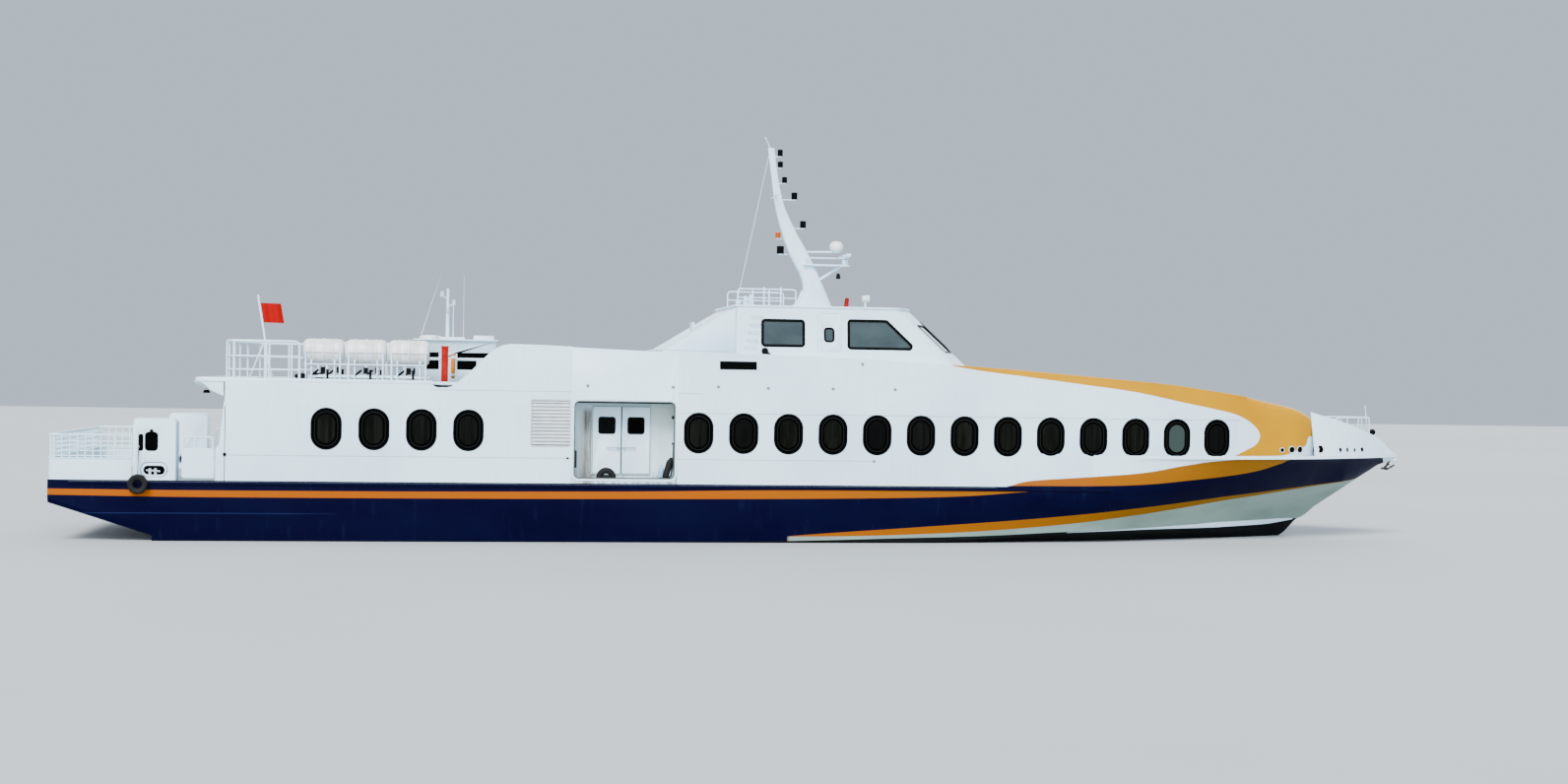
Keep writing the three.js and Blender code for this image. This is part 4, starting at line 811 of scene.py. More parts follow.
# %% Hull lines
HULL_LINES = [  # x, keel height, chine half breadth, chine height
    (-16.95, -0.8, 3.15, -0.35), (-13.0, -1.0, 3.2, -0.34), (-5.0, -1.15, 3.2, -0.28),
    (3.0, -1.15, 3.15, -0.05), (8.8, -1.08, 2.9, 0.33), (9.6, -1.06, 2.74, 0.36),
    (11.0, -1.01, 2.33, 0.41), (12.1, -0.94, 1.95, 0.45), (13.4, -0.76, 1.44, 0.485),
    (14.5, -0.5, 0.98, 0.51), (15.3, -0.22, 0.56, 0.525), (15.9, 0.06, 0.27, 0.535),
    (16.35, 0.5, 0.07, 0.545), (17.13, 1.02, 0.03, 1.06), (17.8, 1.44, 0.03, 1.48),
    (18.43, 1.85, 0.03, 1.89), (19.04, 2.21, 0.025, 2.24), (19.59, 2.33, 0.012, 2.336),
]
KEEL, CHINE_HALF, CHINE_Z = (batten(HULL_LINES, column) for column in (1, 2, 3))
HALF_BEAM, PARALLEL_END = 3.45, 8.8
BOW_X = 19.6
DECK_Z, FOREDECK_Z = 1.62, 2.53
KNUCKLE_LOW, KNUCKLE_HIGH = 2.4, 2.44
GAP = 0.0003  # keeps a shell off the deck that it stands on
DECK_FOOT, FOREDECK_FOOT = DECK_Z + GAP, FOREDECK_Z + GAP
STERN_X, TRANSOM_X = -19.57, -16.95
COUNTER_FOOT = batten([(-19.57, 0.99), (-19.4, 0.935), (-16.94, 0.13)])


def deck_half(x):
    if x <= PARALLEL_END:
        return HALF_BEAM
    return HALF_BEAM * (1 - min(1.0, (x - PARALLEL_END) / (BOW_X - PARALLEL_END)) ** 2.6)


def side_curve(x):
    """Half breadth over height from chine to knuckle, with the chine's height and the edge."""
    raised = clamp((x - PARALLEL_END) / 4.2)
    edge = max(deck_half(x), 0.026)
    under = max(edge - 0.07 * clamp((x - 9.6) / 2.4), 0.02)
    chine, low = CHINE_HALF(x), CHINE_Z(x)
    knee_z = max(1.52, KEEL(x) + 0.3 * (KNUCKLE_LOW - KEEL(x)))
    knee = chine + (under - chine) * (1 - 0.4 * raised)
    start = chine + min(0.06, 0.1 * chine)
    rows = [(low + 0.012, start), (knee_z, knee)]
    rows += [(KNUCKLE_LOW, under)] if x > PARALLEL_END else [(DECK_Z, HALF_BEAM)]
    if x > PARALLEL_END and knee_z > KNUCKLE_LOW - 0.02:
        rows = [rows[0], (KNUCKLE_LOW, under)]
    return batten(rows), low + 0.012, edge


def hull_section(x, top):
    """One closed section of the hull, with the knuckle's rows where the foredeck is raised."""
    curve, low, edge = side_curve(x)
    keel, chine, chine_z = KEEL(x), CHINE_HALF(x), CHINE_Z(x)
    half = [(x, chine * i / 6, keel + (chine_z - keel) * i / 6) for i in range(7)]
    start = max(DECK_Z, low + 0.3 * (KNUCKLE_LOW - low))
    heights = [low + (start - low) * i / 10 for i in range(11)]
    if top > DECK_Z:
        heights += [start + (KNUCKLE_LOW - start) * i / 8 for i in range(1, 9)]
    half += [(x, curve(z), z) for z in heights]
    if top > DECK_Z:
        half += [(x, edge, KNUCKLE_HIGH), (x, edge, FOREDECK_Z)]
    else:
        half += [(x, HALF_BEAM, DECK_Z)] * 10
    return both_halves([*half, (x, 0.0, top)])


def counter_section(x):
    """One closed section of the overhanging counter, which squares off towards the stern."""
    foot = COUNTER_FOOT(x)
    share = clamp((-17.2 - x) / 1.6)
    curve = side_curve(TRANSOM_X)[0]
    half = [(x, (HALF_BEAM - 0.25) * i / 4, foot) for i in range(5)]
    heights = [foot + 0.14 + (DECK_Z - foot - 0.14) * i / 8 for i in range(9)]
    wide = [curve(z) + (HALF_BEAM - curve(z)) * share for z in heights]
    half += [(x, wide[0] - 0.05, foot + 0.03), *((x, y, z) for y, z in zip(wide, heights))]
    return both_halves([*half, (x, 0.0, DECK_Z)])


aft_xs = spread(TRANSOM_X, PARALLEL_END, 0.45)
fore_xs = [*spread(PARALLEL_END, 15.0, 0.2), *spread(15.0, 19.59, 0.07)[1:]]
sections = [hull_section(x, DECK_Z) for x in aft_xs] + [hull_section(x, FOREDECK_Z) for x in fore_xs]
counter = [counter_section(x) for x in spread(STERN_X, -16.94, 0.3)]
hull = join_meshes(
    "hull_plating", [skin(sections), skin(counter)], hull_paint, slot="navy_paint", sharp=24,
    replaces=("hull",),
)
print("hull plating:", len(hull.data.polygons), "faces")


# %% [markdown]
# A rubbing strake runs along the deck edge, a half-round welded on at the sheer, and a spray
# rail lies along the chine forward. The skeg and the mooring bollards finish the hull.

# %% Strakes, spray rails, skeg and bollards
def strip_along(xs, place_at, profile, size=lambda x: 1.0):
    """A bar whose (out, up) profile is carried along the side of the hull."""
    rings = []
    for x in xs:
        half, z = place_at(x)
        rings.append([(x, -(half + out * size(x)), z + up * size(x)) for out, up in profile])
    return skin(rings)


HALF_ROUND = [
    (-0.01, -0.05), (0.02, -0.046), (0.036, -0.03), (0.04, 0.0), (0.036, 0.03), (0.02, 0.046),
    (-0.01, 0.05),
]
strake = strip_along(spread(-19.05, 9.3, 0.6), lambda x: (deck_half(x), 1.54), HALF_ROUND)
join_meshes("rubbing_strakes", on_both([strake]), hull_paint, slot="navy_paint")
WEDGE = [(-0.06, -0.13), (0.0, -0.12), (0.07, 0.015), (0.08, 0.035), (0.0, 0.05), (-0.06, 0.05)]
taper = batten([(8.2, 0.1), (10.5, 0.35), (13.5, 1.0), (15.0, 1.0), (16.2, 0.25)])
spray = strip_along(spread(8.2, 16.2, 0.2), lambda x: (CHINE_HALF(x), CHINE_Z(x)), WEDGE, taper)
white_piece("spray_rails", on_both([spray]))
skeg_side = [(-12.5, -0.95), (-4.0, -1.05), (-5.2, -1.42), (-11.8, -1.3)]
new_piece("skeg", *slab(skeg_side, -0.045, 0.045), hull_paint, slot="navy_paint")
BOLLARD_SPOTS = ((-18.5, 2.9, DECK_Z), (17.35, 0.85, FOREDECK_Z))  # x, off the centreline, deck
bollards = []
for x, off, deck in BOLLARD_SPOTS:
    for y in (-off, off):
        for step in (-0.11, 0.11):
            bollards.append(post(x + step, y, deck - 0.01, deck + 0.225, 0.05, sides=24))
            bollards.append(post(x + step, y, deck + 0.2, deck + 0.23, 0.062, sides=24))
        bollards.append(rod((x - 0.2, y, deck + 0.15), (x + 0.2, y, deck + 0.15), 0.028))
white_piece("mooring_bollards", bollards)


# %% [markdown]
# ## The saloon sides
# Each side is one long welded plate that stands up from the deck edge and leans in a little above
# the windows. The windows are stadium-shaped holes cut with a router, so they are cut here too,
# with an exact boolean through a real plate 60 mm thick.

# %% Saloon sides
WALL_TOP = batten([
    (-20.0, 4.25), (-9.7, 4.25), (-9.58, 4.18), (-9.3, 4.18), (-8.94, 4.4), (-7.79, 5.355),
    (-7.58, 5.38), (-3.57, 5.24), (2.0, 5.09), (5.6, 4.91), (8.0, 4.745), (9.6, 4.625),
    (11.1, 4.505), (12.3, 4.355), (13.5, 4.197),
])
WALL, TUMBLEHOME_Z, LEAN_RATE, ROLL_REACH = 0.06, 3.72, 0.07, 0.08
STRAIGHT_FROM = 3.84
WINDOW_WIDTH, WINDOW_HEIGHT = 0.76, 1.07


def wall_half(x, z):
    """Half breadth of the wall, whose lean starts over a hand's breadth, as a rolled plate's does."""
    over = z - TUMBLEHOME_Z
    lean = max(0.0, over) if abs(over) > ROLL_REACH else (over + ROLL_REACH) ** 2 / (4 * ROLL_REACH)
    return deck_half(x) - LEAN_RATE * lean


def wall_ring(x):
    """One closed section of a side wall, with close rows where it bends."""
    foot = FOREDECK_FOOT if x > PARALLEL_END - 0.0005 else DECK_FOOT
    rise = WALL_TOP(x) - STRAIGHT_FROM
    heights = [foot, 2.7, 3.2, 3.6, 3.66, 3.72, 3.78, *(STRAIGHT_FROM + rise * i / 4 for i in range(5))]
    outer = [(x, -wall_half(x, z), z) for z in heights]
    return outer + [(x, y + WALL, z) for x, y, z in reversed(outer)]


def wall_panel(x0, x1):
    corners = (-9.7, -9.58, -9.3, -8.94, -7.79, -7.58, PARALLEL_END - 0.001, PARALLEL_END)
    wanted = [*corners, *spread(-9.7, -7.5, 0.1), *spread(-15.0, 13.4, 0.3)]
    xs = sorted({x0, x1, *(x for x in wanted if x0 < x < x1)})
    kept = [xs[0]]
    for x in xs[1:]:
        if x - kept[-1] > 0.0008:
            kept.append(x)
    return skin([wall_ring(x) for x in kept])


def through(outline, out=-3.7, back=-2.95):
    """A cutter that goes through a side wall."""
    return slab(outline, out, back)


def window_outline(x):
    return rounded_rect(x, WINDOW_Z, WINDOW_WIDTH, WINDOW_HEIGHT, WINDOW_WIDTH / 2, 12)


LOUVRE = (-7.03, -6.0, 2.64, 3.87)
VENT_SLOT = (-1.91, -0.87, 4.78, 5.02)
AFT_WINDOWS = [-12.47 + WINDOW_PITCH * i for i in range(4)]
FORWARD_WINDOWS = [WINDOW_FIRST + WINDOW_PITCH * i for i in range(13)]
AFT_SPAN, FORWARD_SPAN = (-15.1, -5.9503), (-3.0497, 13.4997)
CUT_CORNER = 0.02
GATE_STUB = [
    (-15.08, DECK_FOOT), (-15.322, DECK_FOOT), (-15.322, 2.48), (-15.225, 2.6), (-15.12, 3.72),
    (-15.08, 3.72),
]
stub = slab(GATE_STUB, -HALF_BEAM, -HALF_BEAM + WALL)
aft_cuts = [through(window_outline(x)) for x in AFT_WINDOWS]
aft_cuts.append(through(box_outline(*LOUVRE, CUT_CORNER)))
fore_cuts = [through(window_outline(x)) for x in FORWARD_WINDOWS]
fore_cuts.append(through(box_outline(*VENT_SLOT, CUT_CORNER)))
for side, sign in SIDES:
    for part, (x0, x1), cuts in (("aft", AFT_SPAN, aft_cuts), ("forward", FORWARD_SPAN, fore_cuts)):
        shapes = [wall_panel(x0, x1)] + ([stub] if part == "aft" else [])
        node = f"saloon_side_{part}_{side}"
        plate = join_meshes(
            node + "_plate", on_side(sign, shapes), side_white, slot="white_paint", sharp=30,
            replaces=(node,),
        )
        carve(plate, on_side(sign, cuts))
        dress(plate, side_white, "root", 30)
        print(plate.name, len(plate.data.polygons), "faces")


# %% [markdown]
# ## Panes and gaskets
# Each saloon window is a toughened pane bonded almost flush into its hole, with a black ceramic
# border that hides the glue, and a thin rubber gasket round it. Both follow the wall's surface,
# so the panes at the bow turn with the plate.

# %% Panes set into a surface
def side_surface(sign):
    return lambda a, b, rise: (a, sign * (wall_half(a, b) + rise), b)


def pane(surface, outline, rise, thick, soft=0.004):
    """A plate whose edge follows the outline, with a softened rim."""
    ca = sum(p[0] for p in outline) / len(outline)
    cb = sum(p[1] for p in outline) / len(outline)

    def ring(shrink, level, share=1.0):
        return [
            surface(ca + (a - na * shrink - ca) * share, cb + (b - nb * shrink - cb) * share, level)
            for a, b, na, nb in outline
        ]

    rings = [
        ring(0, rise - thick), ring(0, rise - soft), ring(soft, rise), ring(soft, rise, 0.6),
        ring(soft, rise, 0.2),
    ]
    return skin(rings)


def gasket_ring(surface, outline, inner, outer, rise, back, soft=0.004):
    """A rubber or metal ring round an outline, from inner to outer off it."""
    profile = [
        (inner, back), (inner, rise - soft), (inner + soft, rise), (outer - soft, rise),
        (outer, rise - soft), (outer, back),
    ]
    loops = [
        [surface(a + na * off, b + nb * off, level) for a, b, na, nb in outline] for off, level in profile
    ]
    points = [p for loop in loops for p in loop]
    count = len(outline)
    faces = []
    for r in range(len(loops)):
        s = (r + 1) % len(loops)
        for i in range(count):
            j = (i + 1) % count
            faces.append((r * count + i, r * count + j, s * count + j, s * count + i))
    return points, faces


GASKET_FOOT = 2.56  # forward, the gaskets stop just over the foredeck
for side, sign in SIDES:
    surface = side_surface(sign)
    panes, gaskets, beads = [], [], []
    over_foot = lambda a, b, rise, surface=surface: surface(a, max(b, GASKET_FOOT) if a > 7 else b, rise)
    for x in AFT_WINDOWS + FORWARD_WINDOWS:
        outline = window_outline(x)
        panes.append(pane(surface, outline, -0.006, 0.02))
        gaskets.append(gasket_ring(over_foot, outline, -0.012, 0.03, 0.012, -0.05, 0.006))
        beads.append(gasket_ring(surface, outline, -0.082, -0.07, 0.001, -0.01, 0.001))
    join_meshes(f"saloon_panes_{side}", panes, glass_dark, sharp=30)
    join_meshes(f"saloon_gaskets_{side}", gaskets, gasket, slot="black_rubber")
    join_meshes(f"saloon_pane_beads_{side}", beads, bead_grey)


# %% [markdown]
# ## Roof, nose and bow bulwark
# The roof lies over the walls with a rounded gutter edge and a little camber, so that rain
# runs off. Ahead of it the saloon closes in a nose of formed plate, and the bulwark stands up
# from the foredeck around it. All three are lofts through close sections.

# %% Sections with rounded corners
def fillet(points, radii, steps=5):
    """A flat (y, z) line whose inner corners are rounded, always with the same number of points."""
    found = [points[0]]
    for before, corner, after, radius in zip(points, points[1:], points[2:], radii):
        back = Vector(before) - Vector(corner)
        on = Vector(after) - Vector(corner)
        reach = min(radius, back.length * 0.48, on.length * 0.48)
        start, end = Vector(corner) + back.normalized() * reach, Vector(corner) + on.normalized() * reach
        for i in range(steps + 1):
            t = i / steps
            found.append(tuple(start * (1 - t) ** 2 + Vector(corner) * 2 * t * (1 - t) + end * t * t))
    return [*found, points[-1]]


def roof_section(x):
    """One closed section of the saloon roof, with its camber and a rounded gutter edge."""
    z, camber = WALL_TOP(x), 0.05
    half = wall_half(x, z)
    upper = fillet([(half, z + GAP), (half, z + 0.06), (0.0, z + 0.06 + camber)], [0.04])
    line = [*reversed(upper), (half - 0.08, z + GAP), (0.0, z + GAP + camber)]
    port = [(x, y, h) for y, h in line]
    return port + [(x, -y, h) for y, h in reversed(line) if y > 1e-6]


roof = new_piece(
    "house_roof_plate", *skin([roof_section(x) for x in spread(-3.5, 13.4997, 0.3)]), side_white,
    slot="white_paint", sharp=40, replaces=("house_roof",),
)
carve(roof, [block(-2.1, -0.3, -0.45, 0.45, 4.0, 5.6)])
dress(roof, side_white, "root", 40)

NOSE = [
    (13.5, 0.0, 4.297), (14.3, 0.01, 4.14), (15.15, 0.05, 3.985), (15.65, 0.16, 3.84),
    (16.05, 0.35, 3.66), (16.35, 0.68, 3.43), (16.53, 1.1, 3.1),
]
NOSE_DRAW, NOSE_CROWN = batten(NOSE, 1), batten(NOSE, 2)


def nose_section(x):
    """One closed section of the nose, drawn in from the deck's edge and rounded at the shoulder."""
    half = deck_half(x) - 0.014 * clamp((x - 13.5) / 0.5) - NOSE_DRAW(x)
    z = NOSE_CROWN(x)
    shoulder = min(TUMBLEHOME_Z, z - 0.33)
    reach = half - (z - shoulder) * 0.1
    line = [
        (0.0, FOREDECK_FOOT), (half, FOREDECK_FOOT), (half, shoulder), (reach, z - 0.13),
        (reach - 0.16, z - 0.04), (0.0, z + 0.01),
    ]
    rounded = fillet(line, [0.005, 0.5, 0.12, 0.12], 6)
    ring = [(x, y, h) for y, h in rounded]
    return ring + [(x, -y, h) for y, h in reversed(rounded) if y > 1e-6]


NOSE_TIP = 16.53
nose_rings = [nose_section(x) for x in [*spread(13.5, 16.0, 0.12), *spread(16.0, NOSE_TIP, 0.05)[1:]]]
nose_rings.append([
    (NOSE_TIP + 0.02, y * 0.96, FOREDECK_FOOT + (z - FOREDECK_FOOT) * 0.96)
    for _, y, z in nose_section(NOSE_TIP)
])
new_piece(
    "nose_plating", *skin(nose_rings), side_white, slot="gold_paint", sharp=50, replaces=("nose_shell",),
)

NOSE_END, BULWARK_LEAN = 16.1, 0.28
BULWARK = batten([
    (15.95, 3.82), (16.48, 3.69), (17.11, 3.555), (18.14, 3.245), (18.56, 3.115), (18.87, 2.98),
    (19.15, 2.78), (19.42, 2.59), (19.56, 2.55),
])


def bulwark_section(x):
    """Starboard plate of the bow bulwark, leaning in, with a rolled top."""
    top = BULWARK(x)
    foot = max(deck_half(x) - 0.012, 0.014)
    head = max(foot - (top - FOREDECK_Z) * BULWARK_LEAN, 0.006)
    thick = min(0.05, foot * 0.8, head * 0.8 + 0.002)
    outline = [(foot, FOREDECK_FOOT), (head, top), (head - thick, top), (foot - thick, FOREDECK_FOOT)]
    return [(x, -y, z) for y, z in fillet(outline, [0.022, 0.022], 4)]


bulwark = skin([bulwark_section(x) for x in [*spread(15.95, 18.5, 0.12), *spread(18.5, 19.56, 0.06)[1:]]])
white_piece("bow_bulwark_plating", on_both([bulwark]), sharp=40, replaces=("bow_bulwark",))
print("roof, nose and bulwark made")

# %% [markdown]
# ## The wheelhouse
# The wheelhouse is a welded box whose front leans back so that the panes shed rain. Its plan has
# rounded corners, its height tapers, and the shell is hollow, because its doors open. The outer
# form is lofted, a smaller copy is cut out of it, and then the windows.

# %% Wheelhouse shell
FOOT = dict(z=4.88, front=5.7, corner=5.15, nose=1.35, half=2.62)
HEAD = dict(z=6.56, front=3.85, corner=3.33, nose=1.3, half=2.42)
WHEELHOUSE_AFT = -1.36


def wheelhouse_ring(level, inset=0.0, lift=0.0):
    side = level["half"] - inset
    aft = WHEELHOUSE_AFT + inset
    front = level["front"] - inset
    line = [
        (aft, 0.0), (aft, -side), (level["corner"] - 0.5 * inset, -side),
        (front, -level["nose"] + 0.3 * inset), (front, 0.0),
    ]
    rounded = fillet(line, [0.12, 0.22, 0.22], 6)
    half = [(x, y, level["z"] + lift) for x, y in rounded]
    return half + [(x, -y, z) for x, y, z in reversed(half) if y < -1e-6]


def between(low, high, share):
    return {key: low[key] + (high[key] - low[key]) * share for key in low}


def wheelhouse_body(inset, low=0.0, high=0.0):
    levels = ((0, low), (0.5, 0), (1, high))
    return skin([wheelhouse_ring(between(FOOT, HEAD, share), inset, lift) for share, lift in levels])


def tilted(origin, u, v):
    """A flat surface through a point: u along, v up, and rise along their normal."""
    origin, u, v = Vector(origin), Vector(u).normalized(), Vector(v).normalized()
    normal = u.cross(v).normalized()
    return lambda a, b, rise: tuple(origin + u * a + v * b + normal * rise)


def house_point(level_z, where):
    share = (level_z - FOOT["z"]) / (HEAD["z"] - FOOT["z"])
    level = between(FOOT, HEAD, share)
    return {"front": (level["front"], 0.0, level_z), "side": (0.0, -level["half"], level_z)}[where]


def corner_ends(level):
    """Where the starboard corner plate meets the side and the front, at a level."""
    side_end = Vector((level["corner"], -level["half"], level["z"]))
    return side_end, Vector((level["front"], -level["nose"], level["z"]))


up_front = Vector(house_point(6.0, "front")) - Vector(house_point(5.0, "front"))
up_side = Vector(house_point(6.0, "side")) - Vector(house_point(5.0, "side"))
front_face = tilted(house_point(5.85, "front"), (0, 1, 0), up_front)
starboard_face = tilted(house_point(5.0, "side"), (1, 0, 0), up_side)
low_a, low_b = corner_ends(FOOT)
high_a, high_b = corner_ends(HEAD)
corner_mid = (low_a + low_b + high_a + high_b) / 4
corner_face = tilted(corner_mid, (low_b - low_a) + (high_b - high_a), (high_a + high_b) - (low_a + low_b))


def cornered(points, radius):
    """An (a, b) outline with rounded corners and outward directions, from a convex polygon."""
    found = []
    count, steps = len(points), 5
    centre = Vector((sum(p[0] for p in points) / count, sum(p[1] for p in points) / count))
    for i in range(count):
        corner = Vector(points[i])
        back = (Vector(points[i - 1]) - corner).normalized()
        on = (Vector(points[(i + 1) % count]) - corner).normalized()
        half_angle = math.acos(clamp(back.dot(on), -1, 1)) / 2
        middle = corner + (back + on).normalized() * radius / math.sin(half_angle)
        starts = [Vector((back.y, -back.x)), Vector((on.y, -on.x))]
        starts = [n if n.dot(corner - centre) > 0 else -n for n in starts]
        for s in range(steps + 1):
            n = (starts[0] * (1 - s / steps) + starts[1] * (s / steps)).normalized()
            spot = middle + n * radius
            found.append((spot.x, spot.y, n.x, n.y))
    return found


def side_outline(points, radius):
    """An outline on the starboard face from (x, z) points."""
    lean = (6.0 - 5.0) / up_side.length
    return cornered([(x, (z - 5.0) / lean) for x, z in points], radius)


side_panes = [
    side_outline([(-0.63, 5.465), (0.58, 5.465), (0.58, 6.215), (-0.63, 6.215)], 0.09),
    side_outline([(1.83, 5.43), (3.82, 5.43), (2.95, 6.25), (1.83, 6.25)], 0.09),
]
front_outline = cornered([(-0.61, -0.53), (0.61, -0.53), (0.61, 0.6), (-0.61, 0.6)], 0.1)
front_outlines = [[(a + shift, b, na, nb) for a, b, na, nb in front_outline] for shift in (-0.68, 0.68)]
corner_outline = cornered([(-0.5, -0.5), (0.5, -0.5), (0.46, 0.62), (-0.46, 0.62)], 0.1)


def hole(surface, outline):
    """A cutter that goes through a wheelhouse wall."""
    return skin([[surface(a, b, level) for a, b, *_ in outline] for level in (-0.35, 0.25)])


wheelhouse = new_piece(
    "wheelhouse_plating", *wheelhouse_body(0.0), plain_white, slot="white_paint",
    replaces=("wheelhouse_shell",),
)
doorway = rounded_rect(1.3, 5.875, 0.68, 1.09, 0.08, 4)
holes = [hole(starboard_face, outline) for outline in side_panes]
holes += [hole(corner_face, corner_outline), through(doorway, -3.0, -2.2)]
carve(wheelhouse, [wheelhouse_body(0.06, -0.02, 0.02)])
carve(wheelhouse, on_both(holes) + [hole(front_face, outline) for outline in front_outlines])
under_roof = ((-3, -1), (3, -1), (3, 0.062), (0, 0.112), (-3, 0.062))
house_top = skin([[(x, y, WALL_TOP(x) + dz) for y, dz in under_roof] for x in spread(-3.0, 6.5, 0.5)])
carve(wheelhouse, [block(-1.5, -1.1, -0.4, 0.4, 4.7, 6.15), house_top])
dress(wheelhouse, plain_white, "root", 35)

SIDE_GASKET, FRONT_GASKET = (-0.055, 0.022, 0.012), (-0.04, 0.026, 0.014)  # inner, outer, rise
glazing = [(starboard_face, outline, SIDE_GASKET) for outline in side_panes]
glazing += [(corner_face, corner_outline, FRONT_GASKET)]
glazing += [(front_face, outline, FRONT_GASKET) for outline in front_outlines]
glass_shapes, frame_shapes = [], []
for face, outline, ring in glazing:
    glass = [pane(face, outline, -0.012, 0.015)]
    frame = [gasket_ring(face, outline, *ring, -0.05, 0.006)]
    glass_shapes += glass if face is front_face else on_both(glass)
    frame_shapes += frame if face is front_face else on_both(frame)
join_meshes("wheelhouse_panes", glass_shapes, glass_grey, sharp=30)
join_meshes("wheelhouse_gaskets", frame_shapes, gasket, slot="black_rubber")
print("wheelhouse:", len(wheelhouse.data.polygons), "faces")

# %% [markdown]
# ## Pieces that the solids already shape
# Doors, lockers, the air hood, the screws and the rudders have their true shape in the model. What
# a real welded or moulded edge adds is a small radius that catches the light, so these pieces are
# copies with rounded edges and their own finish.

# %% Softened pieces
SOFTENED = [  # node, material, edge radius
    ("saloon_aft_wall", plain_white, 0.006), ("upper_deck", deck_white, 0.008),
    ("raised_house_bulkhead", plain_white, 0.004), ("companion_fairing", deck_white, 0.02),
    ("companion_door", plain_white, 0.008), ("saloon_aft_door", plain_white, 0.008),
    ("radar_scanner", plain_white, 0.02), ("air_hood", plain_white, 0.03), ("fire_locker", red_gel, 0.02),
    ("anchor", iron, 0.01), ("windlass", iron, 0.012),
]
for side, _ in SIDES:
    SOFTENED += [
        (f"boarding_recess_{side}", recess_white, 0.02), (f"side_door_aft_{side}", plain_white, 0.008),
        (f"side_door_forward_{side}", plain_white, 0.008), (f"wheelhouse_door_{side}", plain_white, 0.008),
        (f"raft_cradle_{side}", plain_white, 0.004), (f"deck_bench_{side}", orange_foam, 0.01),
        (f"side_locker_{side}", plain_white, 0.02), (f"shaft_line_{side}", bronze, 0.006),
        (f"propeller_{side}", bronze, 0.004), (f"rudder_{side}", bronze, 0.008),
    ]
for node, material, width in SOFTENED:
    softened(node, material, width)
print(len(SOFTENED), "pieces softened")

# %% [markdown]
# ## Louvre and vent
# The engine room breathes through a louvre of folded slats in each side, and the cabin through a
# slot with a dark grille. A near-black plate behind both is painted shade, so no light comes through.

# %% Louvre and vent slot
def box_ring(x0, x1, z0, z1, width, out, back, sign):
    """A flat frame round a rectangular hole in the side."""
    outline = box_outline(x0, x1, z0, z1, 0.025)
    return gasket_ring(side_surface(sign), outline, -0.004, width, out, back)


for side, sign in SIDES:
    surface = side_surface(sign)
    x0, x1, z0, z1 = LOUVRE
    slats = []
    for i in range(13):
        z = z0 + 0.03 + (z1 - z0 - 0.1) * i / 12
        blade = [(-0.012, z), (-0.012, z + 0.012), (-0.05, z + 0.085), (-0.062, z + 0.08)]
        slats.append(skin([[surface(x, h, rise) for rise, h in blade] for x in (x0 + 0.002, x1 - 0.002)]))
    slats.append(box_ring(*LOUVRE, 0.035, 0.008, -0.05, sign))
    join_meshes(f"engine_louvre_{side}", slats, louvre_grey, slot="white_paint")
    # The near-black backs behind the louvre and the slot are painted shade.
    shade_backs = [block(x0 - 0.03, x1 + 0.03, sign * 3.36, sign * 3.33, z0 - 0.03, z1 + 0.03)]
    x0, x1, z0, z1 = VENT_SLOT
    shade_backs.append(block(x0 - 0.03, x1 + 0.03, sign * 3.33, sign * 3.30, z0 - 0.03, z1 + 0.03))
    join_meshes(f"louvre_and_vent_painted_shade_{side}", shade_backs, painted_shade)
    bars = []
    for z in (4.84, 4.9, 4.96):
        bar = ((-0.03, z), (-0.03, z + 0.008), (-0.045, z + 0.008), (-0.045, z))
        bars.append(skin([[surface(x, h, rise) for rise, h in bar] for x in (x0, x1)]))
    join_meshes(f"vent_grille_{side}", bars, lamp_black)
    white_piece(f"vent_frame_{side}", [box_ring(*VENT_SLOT, 0.03, 0.01, -0.02, sign)])

# %% [markdown]
# ## Boarding doors
# The recess holds a pair of hinged leaves, each with a small square light in a black gasket.
# The panes ride with their leaves, so they swing with them.

# %% Door lights, seals, painted shade at the recess mouth, bumper and handles
def flat_side(y, sign):
    return lambda a, b, rise: (a, sign * (y + rise), b)


def bent_bar(x, z, half, inner, outer, sign, radius, sides=10):
    """A level bar whose bent ends reach back to the plate, from outer to inner off the centre."""
    bends = [(x - half, inner), (x - half, outer), (x + half, outer), (x + half, inner)]
    return tube(rounded_path([(a, sign * y, z) for a, y in bends], 0.03), radius, sides)


